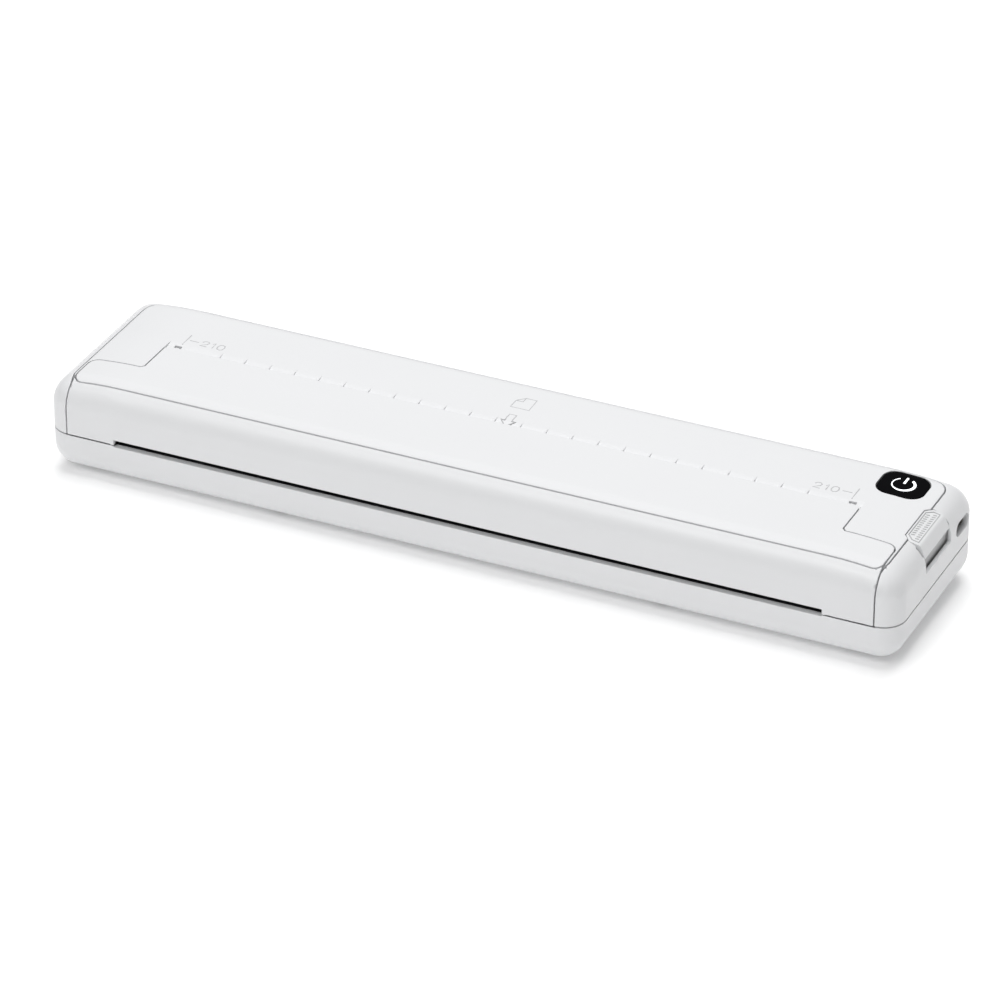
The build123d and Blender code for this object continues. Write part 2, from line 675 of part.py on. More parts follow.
def side_plate(side):
    """Steel plate with a curved channel that receives the roller bush as the cover closes."""
    x = mirrored(SIDE_X, side)
    rear = SIDE_REAR_Y[side]
    crest = PLATEN_Z + 3.6
    points = [
        (SIDE_FRONT_Y, FLOOR_Z + 2.4), (SIDE_FRONT_Y + 2.5, FLOOR_Z), (rear, FLOOR_Z), (rear, 12.0),
        (rear - 3.0, PLATEN_Z + 0.6),
        (PLATEN_Y + 10.0, crest), (PLATEN_Y + 4.6, crest), (PLATEN_Y + 3.6, PLATEN_Z + 2.0),
        (PLATEN_Y + 3.6, PLATEN_Z - 1.0), (SIDE_FRONT_Y, HINGE_Z),
    ]
    plate = prism(points, x)
    foot_x = mirrored((SIDE_X[0] - 6.0, SIDE_X[0]), side)
    plate += block(foot_x, (PLATEN_Y + 1.5, PLATEN_Y + 6.0), (FLOOR_Z, SIDE_BASE_Z))
    plate -= rod(PLATEN_Y, PLATEN_Z, BUSH_R + BUSH_GAP, x)
    swing = hypot(PLATEN_Y - HINGE_Y, PLATEN_Z - HINGE_Z)
    half = BUSH_R + BUSH_GAP
    channel = rod(HINGE_Y, HINGE_Z, swing + half, x) - rod(HINGE_Y, HINGE_Z, swing - half, x)
    beyond = (2 * PLATEN_Y - HINGE_Y, 2 * PLATEN_Z - HINGE_Z)
    above = [(HINGE_Y, HINGE_Z), beyond, (PLATEN_Y, FAR), (HINGE_Y, FAR)]
    plate -= channel & prism(above, x)
    plate -= rod(HOOK_AXIS_Y, HOOK_AXIS_Z, HOOK_SHAFT_R + RUN_GAP, x)
    if side < 0:
        plate -= octagon_bar(MOTOR_Y, MOTOR_Z, MOTOR_SHAFT_R + BUSH_GAP, x)
    return plate


def chassis_plate():
    """Bent steel strip between the side plates; the head springs stand on its sloping part."""
    inner_y = CHASSIS_REAR_Y - CHASSIS_THICK
    edge_y, edge_z = head_point(CHASSIS_EDGE_S, SPRING_WALL_DEPTH + CHASSIS_THICK)
    bend_z = edge_z + (inner_y - edge_y) / tan(radians(HEAD_TILT))
    points = [
        head_point(CHASSIS_EDGE_S, SPRING_WALL_DEPTH), head_point(CHASSIS_BEND_S, SPRING_WALL_DEPTH),
        (CHASSIS_REAR_Y, FLOOR_Z), (inner_y, FLOOR_Z), (inner_y, bend_z), (edge_y, edge_z),
    ]
    return prism(points, (-SIDE_X[0], SIDE_X[0]))


def outlet_guide():
    """Ribbed lower guide between the roller and the outlet."""
    half = SLOT_HALF - SEAM
    front = -DEPTH / 2 + WALL
    under = SLOT_FLOOR_Z - GUIDE_THICK
    points = [
        (front, SLOT_FLOOR_Z), (GUIDE_REAR_Y - 1.3, SLOT_FLOOR_Z), (GUIDE_REAR_Y, SLOT_FLOOR_Z - 0.6),
        (GUIDE_REAR_Y, under), (front, under),
    ]
    guide = prism(points, (-half, half))
    for number in range(7):
        x = -99.0 + number * 33.0
        guide += block((x - 0.7, x + 0.7), (GUIDE_REAR_Y - 3.2, GUIDE_REAR_Y), (FLOOR_Z, under + TINY))
    return guide


# ---------------------------------------------------------------- release

def hook(x):
    """Steel hook whose beak leans over the roller shaft, just clear of the shaft's path."""
    y, z = HOOK_AXIS_Y, HOOK_AXIS_Z
    points = [
        (y - 1.9, z + 0.4), (y + 1.8, z + 0.7), (y - 2.9, z + 6.6), (y - 3.3, z + 11.0), (y - 4.2, z + 18.0),
        (y - 7.4, z + 19.6), (y - 8.8, z + 18.9), (y - 7.6, z + 14.0), (y - 6.0, z + 9.5), (y - 5.4, z + 6.0),
    ]
    body = prism(points, x) + octagon_bar(y, z, HOOK_HUB_R, x)
    swing = hypot(PLATEN_Y - HINGE_Y, PLATEN_Z - HINGE_Z)
    body -= rod(HINGE_Y, HINGE_Z, swing + SHAFT_R + BUSH_GAP, x)
    return body - octagon_bar(y, z, HOOK_SHAFT_R, x)


def hook_shaft():
    return rod(HOOK_AXIS_Y, HOOK_AXIS_Z, HOOK_SHAFT_R, (-HOOK_X[1] - 0.2, LEVER_X[1] + 0.4))


def release_lever():
    tip = HOOK_AXIS_Y + LEVER_ARM + 1.0
    z = HOOK_AXIS_Z
    points = [(HOOK_AXIS_Y, z - 1.0), (tip, z + 0.3), (tip, z + 1.8), (HOOK_AXIS_Y, z + 1.8)]
    lever = prism(points, LEVER_X) + octagon_bar(HOOK_AXIS_Y, z, HOOK_HUB_R, LEVER_X)
    return lever - octagon_bar(HOOK_AXIS_Y, z, HOOK_SHAFT_R, LEVER_X)


def latch_button():
    """Release button over the rounded end, with a skirt inside the wall and a leg to the lever."""
    inner, crease, lower = LATCH_FACE
    skirt_inside = SKIRT_X - SKIRT_THICK
    points = [
        (inner[0] - 1, inner[1] + 0.2), crease, lower, (SKIRT_X, lower[1] - 0.6),
        (SKIRT_X - 0.25, SKIRT_FOOT_Z), (skirt_inside, SKIRT_FOOT_Z), (skirt_inside, 26.8),
        (inner[0] - 1, 28.2),
    ]
    radii = [LATCH_CREASE_R if point == crease else 0 for point in points]
    face = make_face(FilletPolyline(*points, radius=radii, close=True))
    body = extrude(Plane.XZ.offset(-FAR) * face, 2 * FAR)
    body &= column(latch_outline(-SEAM / 2))
    leg_y = HOOK_AXIS_Y + LEVER_ARM - 0.5
    body += block((LEVER_X[0], skirt_inside + TINY), (leg_y, leg_y + 1.6), (25.2, 26.9))
    body += block(LEVER_X, (leg_y, leg_y + 1.6), (HOOK_AXIS_Z + 2.0, 26.9))
    return body + square_post(LATCH_SPRING_X, LATCH_SPRING_Y, 4.4, (LATCH_SPRING_Z[1], 28.0))


def latch_spring():
    low, high = LATCH_SPRING_Z
    return Pos(LATCH_SPRING_X, LATCH_SPRING_Y, low) * coil_spring(1.6, 0.5, 4, high - low)


# ---------------------------------------------------------------- electronics

def power_prism(grow, z):
    """Rounded square of the power button, carried along Z."""
    width, depth = (size + 2 * grow for size in POWER_SIZE)
    face = Pos(POWER_X, POWER_Y) * RectangleRounded(width, depth, POWER_CORNER + grow)
    return column(face, z)


def power_button(outer):
    """Rounded square cap level with the deck, with a square flange under the deck."""
    low, high = POWER_FLANGE_Z
    cap = power_prism(-BUSH_GAP, (high - BUSH_GAP, FAR)) & outer
    half_x, half_y = (size / 2 + POWER_FLANGE for size in POWER_SIZE)
    x = (POWER_X - half_x, POWER_X + half_x)
    return cap + block(x, (POWER_Y - half_y, POWER_Y + half_y), (low, high))


def tact_switch():
    body = square_post(POWER_X, POWER_Y, 6.0, (BOARD_BOX[2][1], 26.0))
    return body + square_post(POWER_X, POWER_Y, 3.0, (26.0, 26.5))


def board_chips():
    """Larger parts soldered on the board, as one group."""
    top = BOARD_BOX[2][1]
    return Compound(children=[block(x, y, (top, top + tall)) for x, y, tall in CHIPS])


def charging_socket():
    """Steel-shelled receptacle under the board, open to the right, with its contact tongue."""
    x = (123.6, 130.9)
    shell = stadium(PORT_SHELL, x) - stadium([size - 0.6 for size in PORT_SHELL], (x[0] + 1.0, FAR))
    tongue = block((x[0], x[1] - 0.8), (PORT_Y - 3.3, PORT_Y + 3.3), (PORT_Z - 0.35, PORT_Z + 0.35))
    pad_foot = PORT_Z + PORT_SHELL[1] / 2 - CLEAR
    pad = block((x[0], x[0] + 5), (PORT_Y - 3, PORT_Y + 3), (pad_foot, BOARD_BOX[2][0]))
    return shell + tongue + pad


def battery_cell(start_x):
    return rod(CELL_Y, CELL_Z, CELL_R, (start_x, start_x + CELL_LENGTH))


def paper_sensor():
    return block((18, 24), (TAB_REAR_Y + 3.0, TAB_REAR_Y + 5.6), (26.0, 29.2))


def foot(side, y):
    """Rubber pad stuck to the underside of the bottom case."""
    return column(Pos(side * FOOT_X, y) * cut_rectangle(FOOT_HALF, FOOT_HALF, FOOT_CUT), (0, FOOT_HEIGHT))


# ---------------------------------------------------------------- build

def build():
    """All sub-parts by node name."""
    outer = envelope()
    room = cavity()
    shell = outer - room
    idler, idler_phase, transfer, transfer_phase, motor, pinion_phase = drive_places()
    pivot = head_point(PIVOT_S, PIVOT_DEPTH)
    nodes = {
        "bottom_case": bottom_case(shell),
        "upper_housing": upper_housing(shell, outer),
        "top_deck": top_deck(shell),
        "cover_top_plate": cover_top_plate(shell),
        "cover_front_shell": cover_front_shell(shell, outer),
        "cover_inner_frame": cover_inner_frame(room),
        "tear_bar": tear_bar(),
        "platen_shaft": platen_shaft(),
        "platen_rubber": platen_rubber(),
        "platen_gear": gear(PLATEN_TEETH, PLATEN_Y, PLATEN_Z, 0.0, NEAR_PLANE_X, SHAFT_R),
        "idler_gear": gear(IDLER_TEETH, *idler, idler_phase, IDLER_X, STUD_R + RUN_GAP),
        "transfer_gear": gear(TRANSFER_TEETH, *transfer, transfer_phase, FAR_PLANE_X, STUD_R + RUN_GAP),
        "motor_pinion": gear(PINION_TEETH, *motor, pinion_phase, FAR_PLANE_X, MOTOR_SHAFT_R)
        + rod(*motor, MOTOR_SHAFT_R, (FAR_PLANE_X[0], MOTOR_X[0] - SHAFT_END_GAP)),
        "idler_stud": rod(*idler, STUD_R, (FAR_PLANE_X[0] - 0.4, -SIDE_X[1])),
        "transfer_stud": rod(*transfer, STUD_R, (FAR_PLANE_X[0] - 0.4, -SIDE_X[1])),
        "motor_body": motor_body(),
        "motor_flange": motor_flange(),
        "print_head_board": head_board(),
        "print_head_heat_sink": head_heat_sink(),
        "driver_chip_cover": driver_chip_cover(),
        "head_pivot_rod": rod(*pivot, PIVOT_ROD_R, (-SIDE_X[0], SIDE_X[0])),
        "chassis_plate": chassis_plate(),
        "outlet_guide": outlet_guide(),
        "hook_shaft": hook_shaft(),
        "release_lever": release_lever(),
        "latch_button": latch_button(),
        "latch_spring": latch_spring(),
        "power_button": power_button(outer),
        "tact_switch": tact_switch(),
        "main_board": block(*BOARD_BOX),
        "board_chips": board_chips(),
        "charging_socket": charging_socket(),
        "paper_sensor": paper_sensor(),
    }
    for number, x in enumerate(SPRING_X, start=1):
        nodes[f"head_spring_{number}"] = head_spring(x)
    for number, x in enumerate(CELL_START_X, start=1):
        nodes[f"battery_cell_{number}"] = battery_cell(x)
    for side, word in ((-1, "left"), (1, "right")):
        nodes[f"side_plate_{word}"] = side_plate(side)
        nodes[f"platen_bush_{word}"] = platen_bush(side)
        nodes[f"hinge_pin_{word}"] = rod(HINGE_Y, HINGE_Z, HINGE_PIN_R, mirrored(HINGE_PIN_X, side))
        nodes[f"hook_{word}"] = hook(mirrored(HOOK_X, side))
        for y, place in ((-FOOT_Y, "front"), (FOOT_Y, "rear")):
            nodes[f"foot_{place}_{word}"] = foot(side, y)
    return nodes


os.makedirs("parts", exist_ok=True)
for name, solid in build().items():
    export_step(solid, f"parts/{name}.step")
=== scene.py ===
"""Looks of a portable A4 thermal printer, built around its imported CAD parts.

Metres, in the frame of the CAD parts: X runs from the left end to the right end, Y from the paper
outlet to the back, and Z up from the table. Sizes in the tables below are in millimetres.
"""

import math

import bmesh
import bpy
from bpy.props import FloatProperty, FloatVectorProperty, PointerProperty
from mathutils import Matrix, Vector


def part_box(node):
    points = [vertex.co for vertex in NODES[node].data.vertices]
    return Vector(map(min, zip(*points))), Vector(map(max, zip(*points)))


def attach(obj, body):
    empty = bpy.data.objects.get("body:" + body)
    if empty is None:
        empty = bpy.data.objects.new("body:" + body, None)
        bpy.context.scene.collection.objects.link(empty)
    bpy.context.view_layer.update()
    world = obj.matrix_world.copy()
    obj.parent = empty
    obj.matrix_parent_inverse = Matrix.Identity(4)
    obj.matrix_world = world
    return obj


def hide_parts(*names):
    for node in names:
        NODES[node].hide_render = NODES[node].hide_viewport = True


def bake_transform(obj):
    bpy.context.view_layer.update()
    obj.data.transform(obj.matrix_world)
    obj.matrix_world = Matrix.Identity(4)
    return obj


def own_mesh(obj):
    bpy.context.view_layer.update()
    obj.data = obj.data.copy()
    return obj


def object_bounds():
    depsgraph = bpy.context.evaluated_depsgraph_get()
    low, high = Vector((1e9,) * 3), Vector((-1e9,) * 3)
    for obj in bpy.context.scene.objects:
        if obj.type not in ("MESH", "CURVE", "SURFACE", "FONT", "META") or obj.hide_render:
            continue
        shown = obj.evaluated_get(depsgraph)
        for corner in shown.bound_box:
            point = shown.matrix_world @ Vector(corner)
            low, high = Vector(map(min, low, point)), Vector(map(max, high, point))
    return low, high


bl_info = {
    "name": "Portable Thermal Printer",
    "version": (1, 0, 0),
    "blender": (4, 5, 0),
    "location": "View3D > Sidebar > Printer",
    "description": "Finishes, trim and studio of a portable A4 thermal printer",
    "category": "Object",
}

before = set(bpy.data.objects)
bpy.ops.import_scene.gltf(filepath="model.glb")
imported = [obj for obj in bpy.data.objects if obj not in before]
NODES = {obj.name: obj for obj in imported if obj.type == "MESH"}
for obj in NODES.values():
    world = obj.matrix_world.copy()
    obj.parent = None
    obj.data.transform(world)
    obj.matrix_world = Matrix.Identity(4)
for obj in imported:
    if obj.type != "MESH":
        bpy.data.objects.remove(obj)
CAD_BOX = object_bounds()
DECK_TOP = CAD_BOX[1][2]
MM = 0.001
X, Y, Z = Vector((1, 0, 0)), Vector((0, 1, 0)), Vector((0, 0, 1))


def mm(*values):
    """A point given in millimetres."""
    return Vector(values) * MM


def box_middle(node, **fixed):
    """Middle of a node's box in metres, where some coordinates may be given instead."""
    low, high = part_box(node)
    middle = (low + high) / 2
    for name, value in fixed.items():
        setattr(middle, name, value)
    return middle


# ---------------------------------------------------------------- shader sums

class Wire:
    """An output socket of a shader tree, used in sums like a number."""

    def __init__(self, tree, socket):
        self.tree = tree
        self.socket = socket

    def _sum(self, operation, first, second):
        return self.tree.node("ShaderNodeMath", {"operation": operation}, {0: first, 1: second})

    def __add__(self, other):
        return self._sum("ADD", self, other)

    __radd__ = __add__

    def __sub__(self, other):
        return self._sum("SUBTRACT", self, other)

    def __rsub__(self, other):
        return self._sum("SUBTRACT", other, self)

    def __mul__(self, other):
        return self._sum("MULTIPLY", self, other)

    __rmul__ = __mul__

    def __gt__(self, other):
        return self._sum("GREATER_THAN", self, other)

    def __lt__(self, other):
        return self._sum("LESS_THAN", self, other)

    def __abs__(self):
        return self._sum("ABSOLUTE", self, 0.0)


class ShaderTree:
    """The nodes of a material or of the sky."""

    def __init__(self, owner):
        owner.use_nodes = True
        self.nodes = owner.node_tree.nodes
        self.links = owner.node_tree.links

    def feed(self, target, value):
        """Joins a wire to a socket, or sets a constant on it."""
        if isinstance(value, Wire):
            self.links.new(value.socket, target)
        else:
            target.default_value = value

    def node(self, kind, settings=None, sockets=None, output=0):
        """Adds a node: its settings first, then its sockets."""
        made = self.nodes.new(kind)
        for key, value in (settings or {}).items():
            setattr(made, key, value)
        for key, value in (sockets or {}).items():
            self.feed(made.inputs[key], value)
        return Wire(self, made.outputs[output])


class Finish(ShaderTree):
    """A material under construction: one Principled shader and what feeds it."""

    def __init__(self, name, colour, roughness, **constants):
        self.material = bpy.data.materials.new(name)
        super().__init__(self.material)
        self.shader = self.nodes["Principled BSDF"]
        self.set("Base Color", (*colour, 1.0))
        self.set("Roughness", roughness)
        for socket, value in constants.items():
            self.set(socket.replace("_", " ").title().replace("Ior", "IOR"), value)
        self.places = None

    def set(self, socket, value):
        """Feeds a socket of the shader with a wire or a constant."""
        self.feed(self.shader.inputs[socket], value)

    def place(self):
        """Place on the piece, in metres."""
        if self.places is None:
            self.places = self.node("ShaderNodeTexCoord", output="Object")
        return self.places

    def axis(self, name):
        """One coordinate of the place, in metres."""
        return self.node("ShaderNodeSeparateXYZ", None, {0: self.place()}, "XYZ".index(name))

    def noise(self, scale, detail=3.0, stretch=(1, 1, 1)):
        """Cloudy value from 0 to 1; scale is in features a metre."""
        place = self.node("ShaderNodeVectorMath", {"operation": "MULTIPLY"}, {0: self.place(), 1: stretch})
        return self.node("ShaderNodeTexNoise", None, {"Vector": place, "Scale": scale, "Detail": detail})

    def cells(self, scale):
        """Distance to the middle of random cells."""
        return self.node("ShaderNodeTexVoronoi", None, {"Vector": self.place(), "Scale": scale})

    def bands(self, scale):
        """Even stripes across X, from 0 to 1."""
        return self.node("ShaderNodeTexWave", {"wave_type": "BANDS", "bands_direction": "X"}, {
            "Vector": self.place(), "Scale": scale, "Distortion": 0.0,
        })

    def mix(self, amount, low, high):
        """Colour between low and high."""
        pick = {"data_type": "RGBA"}
        return self.node("ShaderNodeMix", pick, {0: amount, 6: low, 7: high}, output=2)

    def relief(self, height, depth):
        """Bump from a height of 0 to 1, depth in metres."""
        self.set("Normal", self.node("ShaderNodeBump", None, {
            "Strength": 1.0, "Distance": depth, "Height": height,
        }))

    def vary(self, roughness, spread, scale, detail=3.0, stretch=(1, 1, 1)):
        """Roughness that wanders by spread about its value."""
        self.set("Roughness", (self.noise(scale, detail, stretch) - 0.5) * (2 * spread) + roughness)


def within(value, low, high):
    """1 where a value is between low and high."""
    return (value > low) * (value < high)


def tint(colour, factor):
    """A colour made lighter or darker, with its alpha."""
    return (*[min(1.0, channel * factor) for channel in colour[:3]], 1.0)


# ---------------------------------------------------------------- finishes

# Below this height, in millimetres, the latch's skirt is painted darker, as painted shade of its recess; the
# shades are shares of the white.
LATCH_SKIRT_Z = 25.05
SKIRT_PAINTED_SHADE = 0.66
# Painted shade: the raised marks are coloured darker than the white, standing in for the shading along their
# sides.
MARK_PAINTED_SHADE = 0.66


def moulded(name, colour, roughness, grain=2600, depth=0.000006, skirt=None, **constants):
    """Injection-moulded plastic with a fine spark texture and slight flow marks, with painted shade below its
    skirt.
    """
    finish = Finish(name, colour, roughness, **constants)
    flow = finish.noise(38, 4, (0.35, 1, 1))
    shade = finish.mix(flow, tint(colour, 0.985), tint(colour, 1.01))
    if skirt is not None:
        # Painted shade: below the skirt height the plastic is darkened to stand in for the shadow in the
        # latch's recess.
        shade = finish.mix(finish.axis("Z") < skirt * MM, shade, tint(colour, SKIRT_PAINTED_SHADE))
    finish.set("Base Color", shade)
    finish.vary(roughness, 0.05, 90)
    finish.relief(finish.noise(grain, 5), depth)
    return finish.material


def case_plastic(name, case, skirt=None):
    """The outer plastic, with the thin gloss of a polished mould."""
    return moulded(name, tuple(case.white), case.gloss, skirt=skirt, coat_weight=0.12, coat_roughness=0.25)


def rolled(name, colour, roughness, stretch=(0.06, 1, 1), depth=0.000006):
    """Bare metal with rolling or brushing marks along one axis."""
    finish = Finish(name, colour, roughness, metallic=1.0)
    marks = finish.noise(1900, 4, stretch)
    finish.set("Base Color", finish.mix(finish.noise(60, 3), tint(colour, 0.9), tint(colour, 1.06)))
    finish.set("Roughness", (marks - 0.5) * 0.22 + roughness)
    finish.relief(marks, depth)
    return finish.material


def rubber(name, colour, roughness, scale=1500, depth=0.00002):
    """Ground rubber: matt, with an even fine grain."""
    finish = Finish(name, colour, roughness, specular_ior_level=0.3)
    grain = finish.noise(scale, 6)
    finish.set("Base Color", finish.mix(grain, tint(colour, 0.75), tint(colour, 1.3)))
    finish.vary(roughness, 0.08, 300)
    finish.relief(grain, depth)
    return finish.material


def ceramic_strip():
    """Glazed alumina with the dark heating line and its wiring."""
    finish = Finish("head_ceramic", (0.8, 0.78, 0.72), 0.22, coat_weight=0.3)
    along = finish.axis("Y")
    near = within(along, -15.6 * MM, -12.6 * MM)
    traced = finish.mix((finish.bands(900.0) > 0.55) * near, (0.8, 0.78, 0.72, 1), (0.62, 0.5, 0.28, 1))
    line = within(along, -16.75 * MM, -15.75 * MM)
    finish.set("Base Color", finish.mix(line, traced, (0.09, 0.075, 0.07, 1)))
    finish.vary(0.22, 0.06, 200)
    finish.relief(finish.noise(700, 3), 0.000003)
    return finish.material


def circuit_board():
    """Solder mask over copper, with pads and routed lines."""
    finish = Finish("board_mask", (0.01, 0.09, 0.05), 0.32, coat_weight=0.2)
    rows = finish.node("ShaderNodeTexBrick", {"offset": 0.37}, {
        "Vector": finish.place(), "Scale": 210.0, "Mortar Size": 0.06, "Mortar Smooth": 0.1,
        "Brick Width": 1.9, "Row Height": 0.34,
    }, output="Fac")
    cross = finish.cells(330)
    pads = finish.cells(520) < 0.16
    routed = finish.mix(rows, (0.008, 0.085, 0.045, 1), (0.02, 0.16, 0.085, 1))
    shaded = finish.mix(cross, routed, (0.012, 0.11, 0.06, 1))
    finish.set("Base Color", finish.mix(pads, shaded, (0.75, 0.66, 0.42, 1)))
    finish.set("Metallic", pads * 0.9)
    finish.vary(0.32, 0.08, 300)
    finish.relief(rows, 0.00002)
    return finish.material


def cell_wrap():
    """Shrink film round a lithium cell."""
    finish = Finish("cell_film", (0.03, 0.2, 0.42), 0.26, coat_weight=0.4)
    wrinkle = finish.noise(240, 4, (0.4, 1, 1))
    finish.set("Base Color", finish.mix(wrinkle, (0.025, 0.16, 0.36, 1), (0.04, 0.25, 0.5, 1)))
    finish.vary(0.26, 0.08, 130)
    finish.relief(wrinkle, 0.00006)
    return finish.material


def gloss_black():
    """Polished black plastic with faint swirl marks."""
    finish = Finish("button_gloss", (0.003, 0.003, 0.0035), 0.07, specular_ior_level=0.02)
    swirl = finish.noise(420, 5, (1, 0.3, 1))
    finish.set("Roughness", swirl * 0.08 + 0.04)
    finish.set("Base Color", finish.mix(swirl, (0.002, 0.002, 0.0025, 1), (0.004, 0.004, 0.0045, 1)))
    finish.relief(swirl, 0.000001)
    return finish.material


def ribbon_film():
    """Pale film with a row of copper tracks under it."""
    finish = Finish("ribbon_film", (0.75, 0.78, 0.82), 0.35, coat_weight=0.3)
    tracks = finish.bands(320.0)
    finish.set("Base Color", finish.mix(tracks > 0.5, (0.78, 0.8, 0.82, 1), (0.55, 0.36, 0.2, 1)))
    finish.vary(0.35, 0.08, 200)
    finish.relief(tracks, 0.00002)
    return finish.material


def lead_sheath(name, colour):
    """Soft sheath of a stranded lead."""
    finish = Finish(name, colour, 0.42)
    haze = finish.noise(500, 3)
    finish.set("Base Color", finish.mix(haze, tint(colour, 0.85), tint(colour, 1.15)))
    finish.vary(0.42, 0.08, 260)
    finish.relief(haze, 0.00001)
    return finish.material


def glowing(name, colour, strength):
    """Printed sign with a painted glow, giving off light of its own."""
    finish = Finish(name, colour, 0.4)
    glow = finish.noise(300, 2) * 0.1 + 0.95
    finish.set("Emission Color", finish.mix(glow, (0, 0, 0, 1), (*colour, 1)))
    finish.set("Emission Strength", strength)
    return finish.material


CASE_FINISHES = {
    "white_case": lambda case: case_plastic("white_case", case),
    # The latch's plastic carries painted shade below its skirt.
    "latch_plastic": lambda case: case_plastic("latch_plastic", case, LATCH_SKIRT_Z),
    # The marks' finish is the white darkened as painted shade.
    "mark_painted_shade": lambda case: moulded("mark_painted_shade", tint(case.white, MARK_PAINTED_SHADE)[:3], 0.5),
}
FIXED_FINISHES = {
    "dark_plastic": (moulded, "dark_plastic", (0.022, 0.022, 0.024), 0.45),
    "gear_plastic": (moulded, "gear_plastic", (0.72, 0.69, 0.6), 0.38, 1500, 0.00001),
    "chip_black": (moulded, "chip_black", (0.012, 0.012, 0.013), 0.5),
    "plug_white": (moulded, "plug_white", (0.72, 0.7, 0.64), 0.42),
    "part_body": (moulded, "part_body", (0.42, 0.33, 0.22), 0.4),
    "brass": (rolled, "brass", (0.72, 0.5, 0.2), 0.3),
    "contact_brass": (rolled, "contact_brass", (0.78, 0.58, 0.26), 0.25),
    "steel": (rolled, "steel", (0.58, 0.58, 0.57), 0.32),
    "motor_steel": (rolled, "motor_steel", (0.62, 0.62, 0.6), 0.36, (1, 0.1, 1)),
    "socket_steel": (rolled, "socket_steel", (0.5, 0.5, 0.5), 0.3),
    "spring_steel": (rolled, "spring_steel", (0.48, 0.48, 0.47), 0.28),
    "aluminium": (rolled, "aluminium", (0.76, 0.77, 0.78), 0.38, (0.02, 1, 1), 0.00001),
    "roller_rubber": (rubber, "roller_rubber", (0.035, 0.035, 0.037), 0.6),
    "foot_rubber": (rubber, "foot_rubber", (0.2, 0.2, 0.205), 0.75, 900),
    "lead_red": (lead_sheath, "lead_red", (0.5, 0.02, 0.015)),
    "lead_black": (lead_sheath, "lead_black", (0.02, 0.02, 0.022)),
    # The standby sign glows with painted light.
    "sign_white": (glowing, "sign_white", (0.9, 0.92, 0.94), 0.9),
    "ceramic": (ceramic_strip,),
    "circuit_board": (circuit_board,),
    "cell_wrap": (cell_wrap,),
    "gloss_black": (gloss_black,),
    "ribbon_film": (ribbon_film,),
}
FINISHES = {}


def finish(name, case):
    """The finish of that name, made once, from the settings of the case where it is white."""
    if name in FINISHES:
        return FINISHES[name]
    if name in CASE_FINISHES:
        FINISHES[name] = CASE_FINISHES[name](case)
    else:
        maker, *values = FIXED_FINISHES[name]
        FINISHES[name] = maker(*values)
    return FINISHES[name]


# ---------------------------------------------------------------- making pieces

def dress(node, material, edge, angle=32, segments=2, flatten=True):
    """Gives a CAD node its finish, softened edges (millimetres) and even shading."""
    piece = NODES[node]
    mesh = piece.data
    mesh.materials.clear()
    mesh.materials.append(material)
    for name in ("custom_normal", "sharp_edge", "sharp_face"):
        if name in mesh.attributes:
            mesh.attributes.remove(mesh.attributes[name])
    mesh.shade_smooth()
    return smoothed(piece, edge, angle, segments, flatten)


def smoothed(piece, edge, angle=32, segments=2, flatten=True):
    """Welds, flattens and bevels a mesh without moving it.

    Flattening is left out where the bevel would fill an opening of the flattened face.
    """
    weld = piece.modifiers.new("joined", "WELD")
    weld.merge_threshold = 0.000002
    if flatten:
        flat = piece.modifiers.new("flats", "DECIMATE")
        flat.decimate_type = "DISSOLVE"
        flat.angle_limit = math.radians(0.6)
    if edge:
        bevel = piece.modifiers.new("edges", "BEVEL")
        bevel.width = edge * MM
        bevel.segments = segments
        bevel.limit_method = "ANGLE"
        bevel.angle_limit = math.radians(angle)
        bevel.use_clamp_overlap = False
        bevel.miter_outer = "MITER_ARC"
    shade = piece.modifiers.new("shading", "WEIGHTED_NORMAL")
    shade.weight = 90
    shade.keep_sharp = True
    return piece


def piece_of(name, mesh, material, body):
    """Links a finished mesh as a piece that rides on a body, or on none yet."""
    mesh.materials.clear()
    mesh.materials.append(material)
    made = bpy.data.objects.new(name, mesh)
    bpy.context.scene.collection.objects.link(made)
    if body:
        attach(made, body)
    return made


def wires(name, lines, radius, material, body, closed=(), bent=False):
    """Round strokes along lines of points in metres, as one piece; bent ones curve between their points."""
    curve = bpy.data.curves.new(name, "CURVE")
    curve.dimensions = "3D"
    curve.bevel_depth = radius
    curve.bevel_resolution = 2
    curve.use_fill_caps = True
    for number, points in enumerate(lines):
        spline = curve.splines.new("NURBS" if bent else "POLY")
        spline.points.add(len(points) - 1)
        for point, place in zip(spline.points, points):
            point.co = (*place, 1.0)
        spline.use_cyclic_u = number in closed
        if bent:
            spline.order_u = 3
            spline.use_endpoint_u = True
    made = bpy.data.objects.new(name, curve)
    bpy.context.scene.collection.objects.link(made)
    curve.materials.append(material)
    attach(made, body)
    return made


def arc(centre, across, up, radius, start, stop, steps=24):
    """Points of an arc; angles in degrees from across towards up."""
    turns = [math.radians(start + (stop - start) * step / steps) for step in range(steps + 1)]
    return [centre + across * (radius * math.cos(turn)) + up * (radius * math.sin(turn)) for turn in turns]


def boxes(name, places, material, body, edge=0.05):
    """Many small blocks as one piece; each place is (middle, size) in millimetres."""
    shape = bmesh.new()
    for middle, size in places:
        spread = Matrix.Diagonal((*[side * MM for side in size], 1.0))
        bmesh.ops.create_cube(shape, size=1.0, matrix=Matrix.Translation(mm(*middle)) @ spread)
    made = piece_of(name, closed_mesh(name, shape), material, body)
    return smoothed(made, edge, 40, 2)


def closed_mesh(name, shape):
    """Mesh of a finished bmesh, shaded smooth."""
    bmesh.ops.recalc_face_normals(shape, faces=shape.faces)
    mesh = bpy.data.meshes.new(name)
    shape.to_mesh(mesh)
    shape.free()
    mesh.shade_smooth()
    return mesh


